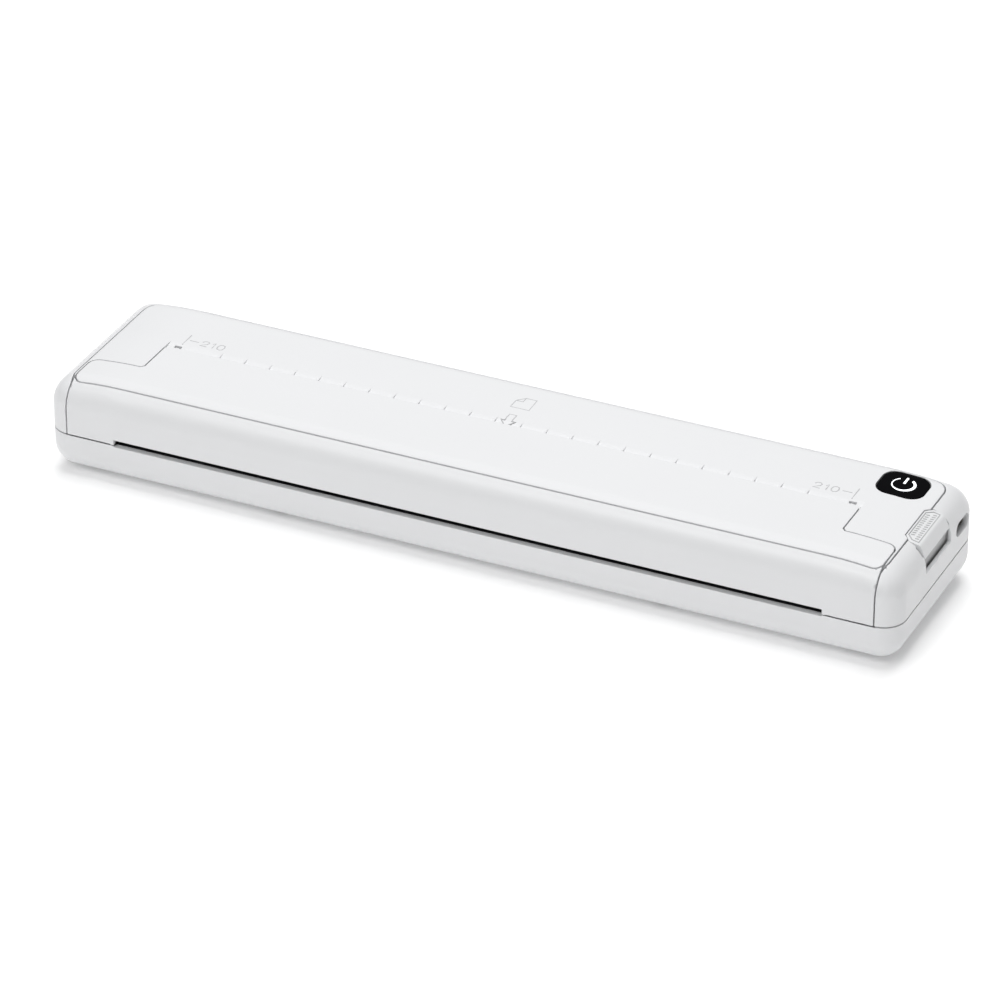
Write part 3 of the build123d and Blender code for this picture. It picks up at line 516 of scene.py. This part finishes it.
def ring_of(shape, centre, across, up, radius, steps):
    """A ring of vertices about a centre."""
    ring = []
    for step in range(steps):
        turn = 2 * math.pi * step / steps
        ring.append(shape.verts.new(centre + (across * math.cos(turn) + up * math.sin(turn)) * radius))
    return ring


def skin(shape, low, high):
    """Faces between two rings."""
    for step in range(len(low)):
        after = (step + 1) % len(low)
        shape.faces.new((low[step], low[after], high[after], high[step]))


def revolved(name, profile, centre, axis, material, body, steps=32, hollow=False):
    """Solid of revolution; the profile is (radius, distance along the axis) in millimetres."""
    shape = bmesh.new()
    across = axis.orthogonal().normalized()
    up = axis.cross(across)
    rings = [
        ring_of(shape, centre + axis * (along * MM), across, up, radius * MM, steps)
        for radius, along in profile
    ]
    for low, high in zip(rings, rings[1:]):
        skin(shape, low, high)
    if hollow:
        skin(shape, rings[-1], rings[0])
    else:
        shape.faces.new(rings[0])
        shape.faces.new(rings[-1])
    made = piece_of(name, closed_mesh(name, shape), material, body)
    return smoothed(made, 0.08, 30, 2)


def screw(name, centre, axis, radius, material):
    """Pan-head screw of the base with a cross recess; the centre is where the head sits."""
    shape = bmesh.new()
    across = axis.orthogonal().normalized()
    up = axis.cross(across)
    height = radius * 0.5
    rings = [
        ring_of(shape, centre + axis * (share * height * MM), across, up, wide * radius * MM, 24)
        for share, wide in ((0.0, 0.98), (0.45, 1.0), (0.8, 0.88), (1.0, 0.66))
    ]
    for low, high in zip(rings, rings[1:]):
        skin(shape, low, high)
    shape.faces.new(rings[0])
    arm, half = 0.48 * radius * MM, 0.13 * radius * MM
    plan = [
        (arm, -half), (arm, half), (half, half), (half, arm), (-half, arm), (-half, half),
        (-arm, half), (-arm, -half), (-half, -half), (-half, -arm), (half, -arm), (half, -half),
    ]
    mouth, floor = [
        [shape.verts.new(centre + axis * (level * height * MM) + across * x + up * y) for x, y in plan]
        for level in (1.0, 0.35)
    ]
    skin(shape, floor, mouth)
    shape.faces.new(floor)
    rims = [
        shape.edges.get((ring[step - 1], ring[step])) or shape.edges.new((ring[step - 1], ring[step]))
        for ring in (rings[-1], mouth) for step in range(len(ring))
    ]
    bmesh.ops.triangle_fill(shape, use_beauty=True, edges=rims)
    return smoothed(piece_of(name, closed_mesh(name, shape), material, "base"), 0.06, 30, 2)


def coil(name, foot, axis, spring, material):
    """Compression spring of the base: (radius, wire radius, turns, height) in millimetres."""
    radius, wire, turns, height = spring
    across = axis.orthogonal().normalized()
    up = axis.cross(across)
    steps = turns * 20
    shape = bmesh.new()
    rings = []
    for step in range(steps + 1):
        share = step / steps
        rise = min(max((share * turns - 0.8) / (turns - 1.6), 0.0), 1.0)
        turn = 2 * math.pi * share * turns
        spoke = across * math.cos(turn) + up * math.sin(turn)
        middle = foot + spoke * (radius * MM) + axis * ((wire + (height - 2 * wire) * rise) * MM)
        rings.append(ring_of(shape, middle, spoke, axis, wire * MM, 10))
    for low, high in zip(rings, rings[1:]):
        skin(shape, low, high)
    shape.faces.new(rings[0])
    shape.faces.new(rings[-1])
    return piece_of(name, closed_mesh(name, shape), material, "base")


# ---------------------------------------------------------------- settings

class PrinterCaseSettings(bpy.types.PropertyGroup):
    """Colours and edge sizes of the printer."""

    white: FloatVectorProperty(
        name="White", description="Colour of the outer plastic", subtype="COLOR", size=3,
        min=0.0, max=1.0, default=(0.755, 0.76, 0.77),
    )
    gloss: FloatProperty(
        name="Roughness", description="Roughness of the outer plastic", subtype="FACTOR",
        min=0.0, max=1.0, default=0.36,
    )
    seam_edge: FloatProperty(
        name="Seam edge", description="Rounding of the shells along their seams, in millimetres",
        min=0.05, max=0.14, default=0.14,
    )
    mark_radius: FloatProperty(
        name="Mark radius", description="Radius of the moulded strokes, which are mostly sunk into the deck",
        unit="LENGTH", min=0.0001, max=0.0004, precision=5, default=0.00024,
    )


class PrinterStudioSettings(bpy.types.PropertyGroup):
    """Camera and lights."""

    camera_place: FloatVectorProperty(
        name="Camera", description="Where the camera stands", subtype="TRANSLATION", unit="LENGTH",
        size=3, default=(0.575547, -1.237134, 0.809329),
    )
    azimuth: FloatProperty(
        name="Azimuth", description="Turn of the camera round the object", subtype="ANGLE",
        default=math.radians(24.993),
    )
    elevation: FloatProperty(
        name="Elevation", description="Height of the camera above the horizon", subtype="ANGLE",
        default=math.radians(30.468),
    )
    lens: FloatProperty(name="Lens", description="Focal length in millimetres", default=199.15)
    sky: FloatProperty(
        name="Sky", description="Strength of the even light, which falls off towards both ends", default=0.32,
    )
    floor_glow: FloatProperty(name="Floor glow", description="Own light of the white floor", default=0.16)
    top_power: FloatProperty(
        name="Top light", description="Power of the softbox overhead", unit="POWER", default=15.0,
    )
    front_power: FloatProperty(
        name="Front light", description="Power of the softbox in front", unit="POWER", default=5.8,
    )


# ---------------------------------------------------------------- places of the trim, in millimetres

# Blocks are (middle, size) at the right end; both_ends adds the left one.
OUTLET_CORNER = ((110.65, -29.55, 13.85), (1.1, 1.2, 0.5))
NOTCH_PAD = ((105.7, 1.65, 29.7), (0.95, 0.95, 1.9))

# The tips of the inlet's ribs: places along Y with their depth under the deck.
RIB_COUNT = 24
RIB_PITCH = 8.0
RIB_RADIUS = 0.22
RIB_LINE = ((3.2, 0.28), (4.7, 0.16))

# Strokes on the deck are points (x, y), each with True where the stroke closes. They are sunk by a
# share of their radius, and follow the fall of the inlet's slope in front of it.
MARK_SUNK = 0.6
INLET_SLOPE_Y = 3.9
INLET_FALL = 0.2
WIDTH_BRACKET = (((104.9, 3.6), (104.9, 9.4)), ((103.9, 6.5), (101.0, 6.5)))
NUMERAL_STARTS = ((-1, -100.0), (1, 92.5))
NUMERALS = (
    ([(0.0, 7.1), (0.5, 7.9), (1.6, 7.9), (2.1, 7.2), (1.7, 6.4), (0.0, 5.0), (2.2, 5.0)], False),
    ([(3.3, 7.2), (4.0, 7.9), (4.0, 5.0)], False),
    ([(5.2, 6.4), (5.5, 7.5), (6.3, 7.9), (7.1, 7.5), (7.4, 6.4), (7.1, 5.3), (6.3, 4.9), (5.5, 5.3)], True),
)
SHEET_SIGN = ([(-2.8, 10.6), (3.0, 10.6), (2.8, 16.7), (-0.6, 16.7), (-2.8, 14.5)], True)
SHEET_FOLD = ([(-0.6, 16.7), (-0.6, 14.5), (-2.8, 14.5)], False)
ARROW_SIGN = ([
    (0.0, 0.9), (2.3, 3.2), (1.1, 3.2), (1.1, 3.9), (1.1, 6.5),
    (-1.1, 6.5), (-1.1, 3.9), (-1.1, 3.2), (-2.3, 3.2),
], True)

# The standby sign on the power button; the gap is half its opening in degrees.
SIGN_RADIUS = 3.25
SIGN_STROKE = 0.45
SIGN_DEPTH = 0.42
SIGN_GAP = 36
SIGN_BAR = (0.5, 3.7)

# The latch's sloping face: its head, the way it falls, and the frame and grip rows on it.
LATCH_HEAD = (124.8, 0.6, 30.15)
LATCH_FALL = (5.35, 0, -1.15)
LATCH_FRAME = ((0.75, -6.4), (2.5, -8.2), (4.45, -8.2), (4.45, 8.2), (2.5, 8.2), (0.75, 6.4))
FRAME_RADIUS = 0.2
GRIP_ROWS = ((1.75, 5), (3.45, 6))
GRIP_PITCH = 1.15
GRIP_RADIUS = 0.18

# Springs are (radius, wire radius, turns, height).
LATCH_SPRING = (1.6, 0.25, 6, 7.0)
LATCH_SPRING_FOOT_Z = 13.0
HEAD_SPRING = (1.9, 0.3, 5, 5.2)
HEAD_SPRING_SEAT = (0.0, -8.969, 9.742)

# Turned pieces are profiles of (radius, distance along the axis).
STUD_CLIP = ((1.02, 0.0), (2.1, 0.0), (2.1, 0.28), (1.02, 0.28))
CELL_CAP = ((8.3, 0.0), (8.5, -0.15), (8.2, -0.28), (3.4, -0.28), (3.2, -0.5), (2.2, -0.55))

# The ribbon's path is points (y, z).
RIBBON_LINE = (
    (-6.3, 21.2), (-4.5, 21.3), (-2.0, 21.1), (1.0, 21.0),
    (4.0, 21.2), (7.0, 21.7), (9.5, 22.2), (11.6, 22.2),
)
RIBBON_SIDES = (-50.0, -20.0)
RIBBON_THICKNESS = 0.16

MOTOR_SCREWS = ((-112.6, 9.6, 7.0), (-112.6, 9.6, 15.0))
BOARD_SCREWS = ((-66.0, 13.0, 24.3), (-66.0, 24.0, 24.3), (76.0, 13.0, 24.3))
CASE_SCREWS = ((-84.0, 23.6, 2.4), (84.0, 23.6, 2.4), (-60.0, -21.5, 2.4), (60.0, -21.5, 2.4))
CHASSIS_SCREW = (110.4, -16.25, 4.2)

# The chips' plans are (left, right, front, rear).
CHIP_PLANS = ((-50.0, -40.0, 14.0, 24.0), (6.0, 14.0, 13.0, 21.0))
PIN_PITCH = 0.9
SOCKETS = (
    ((-66.4, 18.5, 26.0), (4.4, 5.6, 3.4)), ((-35.0, 12.6, 22.3), (32.0, 2.6, 1.3)),
    ((66.0, 12.6, 25.8), (7.0, 3.4, 3.0)),
)


# ---------------------------------------------------------------- pieces

def both_ends(block):
    """A block and its mirror image at the left end."""
    (x, y, z), size = block
    return [((side * x, y, z), size) for side in (-1, 1)]


class PRINTER_OT_shells(bpy.types.Operator):
    """Finish the white shells, soften their seams and add their small mouldings"""

    bl_idname = "printer.shells"
    bl_label = "White shells"

    def execute(self, context):
        case = context.scene.printer_case
        white = finish("white_case", case)
        for node in ("bottom_case", "upper_housing", "top_deck", "cover_top_plate", "cover_front_shell"):
            dress(node, white, case.seam_edge, flatten=node != "cover_front_shell")
        boxes("outlet_corners", both_ends(OUTLET_CORNER), white, "cover", 0.12)
        boxes("notch_pads", both_ends(NOTCH_PAD), white, "base", 0.12)
        ribs = []
        for number in range(RIB_COUNT):
            x = (number - (RIB_COUNT - 1) / 2) * RIB_PITCH
            ribs.append([mm(x, y, DECK_TOP / MM - depth) for y, depth in RIB_LINE])
        wires("inlet_rib_tips", ribs, RIB_RADIUS * MM, white, "base")
        return {"FINISHED"}


class PRINTER_OT_deck_marks(bpy.types.Operator):
    """Add the raised width marks and the two loading signs on the deck"""

    bl_idname = "printer.deck_marks"
    bl_label = "Deck marks"

    def execute(self, context):
        case = context.scene.printer_case
        level = DECK_TOP - MARK_SUNK * case.mark_radius

        def on_deck(points):
            places = []
            for x, y in points:
                drop = max(0.0, INLET_SLOPE_Y - y) * INLET_FALL
                places.append(Vector((x * MM, y * MM, level - drop * MM)))
            return places

        strokes = []
        for side, start in NUMERAL_STARTS:
            strokes += [([(side * x, y) for x, y in line], False) for line in WIDTH_BRACKET]
            strokes += [([(start + x, y) for x, y in line], shut) for line, shut in NUMERALS]
        strokes += [SHEET_SIGN, SHEET_FOLD, ARROW_SIGN]
        lines = [on_deck(line) for line, shut in strokes]
        closed = [number for number, (line, shut) in enumerate(strokes) if shut]
        # The deck strokes take the white darkened as painted shade.
        marks = finish("mark_painted_shade", case)
        wires("deck_marks", lines, case.mark_radius, marks, "base", closed)
        return {"FINISHED"}


class PRINTER_OT_power_button(bpy.types.Operator):
    """Finish the power button and add its standby sign"""

    bl_idname = "printer.power_button"
    bl_label = "Power button"

    def execute(self, context):
        case = context.scene.printer_case
        dress("power_button", finish("gloss_black", case), 0.25, 40, 3)
        middle = box_middle("power_button", z=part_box("power_button")[1].z - SIGN_DEPTH * MM)
        ring = arc(middle, Y, -X, SIGN_RADIUS * MM, SIGN_GAP, 360 - SIGN_GAP, 48)
        bar = [middle + Y * (reach * MM) for reach in SIGN_BAR]
        # The sign's finish gives off painted light.
        lit = finish("sign_white", case)
        wires("standby_sign", [ring, bar], SIGN_STROKE * MM, lit, "power")
        return {"FINISHED"}


class PRINTER_OT_latch(bpy.types.Operator):
    """Finish the release latch, its spring and its hooks, and add the grip marks"""

    bl_idname = "printer.latch"
    bl_label = "Release latch"

    def execute(self, context):
        case = context.scene.printer_case
        # The latch frame and grip take the white darkened as painted shade.
        marks = finish("mark_painted_shade", case)
        dress("latch_button", finish("latch_plastic", case), case.seam_edge)
        slope = Vector(LATCH_FALL).normalized()
        start = mm(*LATCH_HEAD) + slope.cross(Y) * (0.02 * MM)

        def on_face(along, across):
            return start + slope * (along * MM) + Y * (across * MM)

        rim = [on_face(*corner) for corner in LATCH_FRAME]
        wires("latch_frame", [rim], FRAME_RADIUS * MM, marks, "latch", [0])
        grip = []
        for row, reach in GRIP_ROWS:
            for number in range(-reach, reach + 1):
                across = number * GRIP_PITCH
                grip.append([on_face(row - 0.5, across - 0.2), on_face(row + 0.5, across + 0.2)])
        wires("latch_grip", grip, GRIP_RADIUS * MM, marks, "latch")
        foot = box_middle("latch_spring", z=LATCH_SPRING_FOOT_Z * MM)
        spring = coil("latch_coil", foot, Z, LATCH_SPRING, finish("spring_steel", case))
        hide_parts("latch_spring")
        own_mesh(spring)
        for node in ("release_lever", "hook_left", "hook_right", "hook_shaft"):
            dress(node, finish("steel", case), 0.08, flatten=False)
        return {"FINISHED"}


class PRINTER_OT_roller(bpy.types.Operator):
    """Finish the platen roller, the gear train and the motor, and add clips, screws and leads"""

    bl_idname = "printer.roller"
    bl_label = "Roller and drive"

    def execute(self, context):
        case = context.scene.printer_case
        for node, name, edge in (
            ("platen_shaft", "steel", 0.2), ("platen_rubber", "roller_rubber", 0.25),
            ("platen_gear", "gear_plastic", 0.06), ("idler_gear", "gear_plastic", 0.06),
            ("transfer_gear", "gear_plastic", 0.06), ("motor_pinion", "brass", 0.05),
            ("idler_stud", "steel", 0.15), ("transfer_stud", "steel", 0.15),
            ("platen_bush_left", "dark_plastic", 0.15), ("platen_bush_right", "dark_plastic", 0.15),
            ("motor_body", "motor_steel", 0.4), ("motor_flange", "steel", 0.1),
        ):
            dress(node, finish(name, case), edge)
        metal = finish("spring_steel", case)
        for word in ("idler", "transfer"):
            stud = f"{word}_stud"
            place = box_middle(stud, x=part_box(stud)[0].x + 0.01 * MM)
            revolved(f"{word}_clip", STUD_CLIP, place, X, metal, "base", hollow=True)
        for number, place in enumerate(MOTOR_SCREWS, 1):
            screw(f"motor_screw_{number}", mm(*place), X, 1.1, finish("steel", case))
        for number, (name, y) in enumerate((("lead_red", -0.9), ("lead_black", 0.3), ("plug_white", 1.5))):
            lead = [
                mm(-104.0, y, 19.2), mm(-104.0, y, 20.8), mm(-103.0, y + 4.0, 21.6),
                mm(-95.0, y + 11.0, 21.4 + 0.3 * number), mm(-84.0, y + 15.5, 24.4),
                mm(-75.0, y + 17.0, 25.6), mm(-68.0, y + 17.9, 25.6),
            ]
            wires(f"motor_lead_{number + 1}", [lead], 0.45 * MM, finish(name, case), "base", bent=True)
        return {"FINISHED"}


class PRINTER_OT_print_head(bpy.types.Operator):
    """Finish the print head and its springs, and add the ribbon"""

    bl_idname = "printer.print_head"
    bl_label = "Print head"

    def execute(self, context):
        case = context.scene.printer_case
        for node, name, edge in (
            ("print_head_board", "ceramic", 0.06), ("print_head_heat_sink", "aluminium", 0.12),
            ("driver_chip_cover", "chip_black", 0.25), ("head_pivot_rod", "steel", 0.2),
        ):
            dress(node, finish(name, case), edge)
        seat = mm(*HEAD_SPRING_SEAT)
        lean = Vector((0.0, -1.0, 1.0)).normalized()
        for number in range(1, 5):
            node = f"head_spring_{number}"
            foot = seat + X * box_middle(node).x
            spring = coil(f"head_coil_{number}", foot, lean, HEAD_SPRING, finish("spring_steel", case))
            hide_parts(node)
            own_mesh(spring)
        self.ribbon(finish("ribbon_film", case))
        return {"FINISHED"}

    def ribbon(self, film):
        """Flat cable from the back of the head to its socket under the main board."""
        shape = bmesh.new()
        rows = []
        for rise in (0.0, RIBBON_THICKNESS):
            rows.append([[shape.verts.new(mm(x, y, z + rise)) for x in RIBBON_SIDES] for y, z in RIBBON_LINE])
        for row in rows:
            for near, far in zip(row, row[1:]):
                shape.faces.new((near[0], near[1], far[1], far[0]))
        under, over = rows
        for side in (0, 1):
            for step in range(len(RIBBON_LINE) - 1):
                lower = under[step][side], under[step + 1][side]
                upper = over[step + 1][side], over[step][side]
                shape.faces.new((*lower, *upper))
        for end in (0, -1):
            shape.faces.new((under[end][0], under[end][1], over[end][1], over[end][0]))
        made = piece_of("head_ribbon", closed_mesh("head_ribbon", shape), film, None)
        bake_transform(made)


class PRINTER_OT_chassis(bpy.types.Operator):
    """Finish the chassis, the paper guides and the tear bar, and add the chassis screws"""

    bl_idname = "printer.chassis"
    bl_label = "Chassis"

    def execute(self, context):
        case = context.scene.printer_case
        for node, name, edge in (
            ("side_plate_left", "steel", 0.1), ("side_plate_right", "steel", 0.1),
            ("chassis_plate", "steel", 0.12), ("tear_bar", "steel", 0.03),
            ("hinge_pin_left", "steel", 0.15), ("hinge_pin_right", "steel", 0.15),
            ("outlet_guide", "dark_plastic", 0.15), ("cover_inner_frame", "dark_plastic", 0.15),
        ):
            dress(node, finish(name, case), edge)
        x, y, z = CHASSIS_SCREW
        for side, word in ((-1, "left"), (1, "right")):
            screw(f"chassis_screw_{word}", mm(side * x, y, z), Z, 1.6, finish("steel", case))
        return {"FINISHED"}


class PRINTER_OT_electronics(bpy.types.Operator):
    """Finish the main board, its parts, the charging socket and the cells"""

    bl_idname = "printer.electronics"
    bl_label = "Electronics"

    def execute(self, context):
        case = context.scene.printer_case
        for node, name, edge in (
            ("main_board", "circuit_board", 0.05), ("board_chips", "chip_black", 0.12),
            ("tact_switch", "motor_steel", 0.1), ("charging_socket", "socket_steel", 0.08),
            ("paper_sensor", "chip_black", 0.15), ("battery_cell_1", "cell_wrap", 0.5),
            ("battery_cell_2", "cell_wrap", 0.5),
        ):
            dress(node, finish(name, case), edge)
        self.board(case)
        self.port_and_sensor(case)
        self.cells(case)
        return {"FINISHED"}

    def board(self, case):
        """Screws, small parts, pins and sockets of the main board."""
        for number, place in enumerate(BOARD_SCREWS, 1):
            screw(f"board_screw_{number}", mm(*place), Z, 1.9, finish("steel", case))
        small = [((-60.0 + number * 5.2, 25.8, 24.55), (1.6, 0.8, 0.5)) for number in range(34)]
        small += [((-34.0 + number * 2.4, 19.0 + number % 3, 24.6), (1.0, 2.0, 0.6)) for number in range(5)]
        boxes("small_parts", small, finish("part_body", case), "base", 0.08)
        pins = []
        for left, right, front, rear in CHIP_PLANS:
            for number in range(int((rear - front) / PIN_PITCH)):
                y = front + 0.7 + number * PIN_PITCH
                pins += [((x, y, 24.45), (0.9, 0.35, 0.28)) for x in (left - 0.4, right + 0.4)]
        boxes("chip_pins", pins, finish("socket_steel", case), "base", 0.03)
        boxes("board_sockets", SOCKETS, finish("plug_white", case), "base", 0.15)

    def port_and_sensor(self, case):
        """Contacts in the charging socket and the two eyes of the paper sensor."""
        contacts = []
        for number in range(-5, 6):
            for level in (-0.4, 0.4):
                contacts.append(((128.2, 19.1 + number * 0.5, 21.25 + level), (3.4, 0.25, 0.12)))
        boxes("port_contacts", contacts, finish("contact_brass", case), "base", 0)
        x, y = box_middle("paper_sensor").x / MM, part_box("paper_sensor")[0].y / MM
        eyes = [((x + side * 1.4, y, 27.4), (1.6, 0.3, 1.8)) for side in (-1, 1)]
        boxes("sensor_eyes", eyes, finish("gloss_black", case), "base", 0.1)

    def cells(self, case):
        """End caps and leads of the two cells."""
        metal = finish("spring_steel", case)
        for number in (1, 2):
            node = f"battery_cell_{number}"
            low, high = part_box(node)
            for word, end, axis in (("start", low.x, X), ("end", high.x, -X)):
                centre = box_middle(node, x=end)
                revolved(f"cell_{number}_{word}", CELL_CAP, centre, axis, metal, "base", 40)
        for number, (name, y) in enumerate((("lead_red", 15.0), ("lead_black", 22.0))):
            plug = 66.5 - number * 1.8
            lead = [
                mm(70.4, y, 14.0), mm(72.6, y, 14.5), mm(74.0, y - 1.5, 18.0), mm(72.0, 9.2, 21.5),
                mm(69.0, 8.2, 25.0), mm(plug, 10.9, 26.0), mm(plug, 12.0, 26.0),
            ]
            wires(f"cell_lead_{number + 1}", [lead], 0.6 * MM, finish(name, case), "base", bent=True)


class PRINTER_OT_underside(bpy.types.Operator):
    """Finish the feet and add the case screws"""

    bl_idname = "printer.underside"
    bl_label = "Feet and screws"

    def execute(self, context):
        case = context.scene.printer_case
        for place in ("front_left", "front_right", "rear_left", "rear_right"):
            dress(f"foot_{place}", finish("foot_rubber", case), 0.35, 40, 3)
        for number, place in enumerate(CASE_SCREWS, 1):
            screw(f"case_screw_{number}", mm(*place), -Z, 2.1, finish("steel", case))
        return {"FINISHED"}


class PRINTER_OT_studio(bpy.types.Operator):
    """Lay the pale floor, hang the soft lights and set the camera"""

    bl_idname = "printer.studio"
    bl_label = "Studio"

    def execute(self, context):
        studio = context.scene.printer_studio
        context.scene.view_settings.view_transform = "Standard"
        context.scene.view_settings.look = "None"
        self.floor(context.scene, studio)
        self.lights(context.scene, studio)
        self.sky(context.scene, studio)
        self.camera(context.scene, studio)
        return {"FINISHED"}

    def floor(self, scene, studio):
        """A wide white floor with a little light of its own."""
        shape = bmesh.new()
        bmesh.ops.create_grid(shape, x_segments=2, y_segments=2, size=6.0)
        mesh = bpy.data.meshes.new("floor")
        shape.to_mesh(mesh)
        shape.free()
        floor = bpy.data.objects.new("floor", mesh)
        floor.location.z = -0.2 * MM
        scene.collection.objects.link(floor)
        paper = Finish("floor_paper", (0.93, 0.93, 0.93), 0.9)
        paper.set("Emission Color", paper.mix(paper.noise(3, 2), (1, 1, 1, 1), (0.99, 0.99, 1, 1)))
        paper.set("Emission Strength", studio.floor_glow)
        mesh.materials.append(paper.material)

    def lights(self, scene, studio):
        """Two softboxes aimed at the printer; only the front one shows in the gloss."""
        aim = Vector((0, 0, 0.015))
        for name, place, size, power, mirrored in (
            ("overhead", (-0.05, 0.25, 1.25), (0.9, 1.2), studio.top_power, False),
            ("front", (-0.05, -0.9, 1.1), (1.2, 0.5), studio.front_power, True),
        ):
            lamp = bpy.data.lights.new(name, "AREA")
            lamp.shape = "RECTANGLE"
            lamp.size, lamp.size_y = size
            lamp.energy = power
            light = bpy.data.objects.new(name, lamp)
            light.location = place
            light.rotation_euler = (aim - Vector(place)).to_track_quat("-Z", "Y").to_euler()
            light.visible_glossy = mirrored
            scene.collection.objects.link(light)

    def sky(self, scene, studio):
        """Even light that falls off towards both ends of the printer."""
        world = bpy.data.worlds.new("studio")
        tree = ShaderTree(world)
        background = tree.nodes["Background"]
        place = tree.node("ShaderNodeTexCoord", output="Generated")
        away = abs(tree.node("ShaderNodeSeparateXYZ", None, {0: place}))
        fall = tree.node("ShaderNodeMapRange", None, {
            "Value": away, "From Min": 0.2, "From Max": 1.0,
            "To Min": studio.sky * 1.1, "To Max": studio.sky * 0.2,
        })
        tree.feed(background.inputs["Strength"], fall)
        tree.feed(background.inputs["Color"], (1, 1, 1, 1))
        scene.world = world

    def camera(self, scene, studio):
        """The photograph's viewing angle."""
        camera = bpy.data.cameras.new("camera")
        camera.lens = studio.lens
        camera.sensor_width = 36.0
        camera.clip_start = 0.01
        camera.clip_end = 30.0
        stand = bpy.data.objects.new("camera", camera)
        tilt = Matrix.Rotation(math.pi / 2 - studio.elevation, 4, "X")
        turn = Matrix.Rotation(studio.azimuth, 4, "Z") @ tilt
        stand.matrix_world = Matrix.Translation(studio.camera_place) @ turn
        scene.collection.objects.link(stand)
        scene.camera = stand


STEPS = (
    PRINTER_OT_shells, PRINTER_OT_deck_marks, PRINTER_OT_power_button, PRINTER_OT_latch,
    PRINTER_OT_roller, PRINTER_OT_print_head, PRINTER_OT_chassis, PRINTER_OT_electronics,
    PRINTER_OT_underside, PRINTER_OT_studio,
)


class PRINTER_PT_sidebar(bpy.types.Panel):
    """Settings and steps of the printer"""

    bl_label = "Portable printer"
    bl_idname = "PRINTER_PT_sidebar"
    bl_space_type = "VIEW_3D"
    bl_region_type = "UI"
    bl_category = "Printer"

    def draw(self, context):
        for settings in (context.scene.printer_case, context.scene.printer_studio):
            box = self.layout.box()
            for name in settings.__annotations__:
                box.prop(settings, name)
        for step in STEPS:
            self.layout.operator(step.bl_idname)


CLASSES = (PrinterCaseSettings, PrinterStudioSettings, *STEPS, PRINTER_PT_sidebar)


def register():
    for kind in CLASSES:
        bpy.utils.register_class(kind)
    bpy.types.Scene.printer_case = PointerProperty(type=PrinterCaseSettings)
    bpy.types.Scene.printer_studio = PointerProperty(type=PrinterStudioSettings)


def unregister():
    del bpy.types.Scene.printer_studio
    del bpy.types.Scene.printer_case
    for kind in reversed(CLASSES):
        bpy.utils.unregister_class(kind)


def main():
    register()
    for step in STEPS:
        group, name = step.bl_idname.split(".")
        getattr(getattr(bpy.ops, group), name)()


if __name__ == "__main__":
    main()
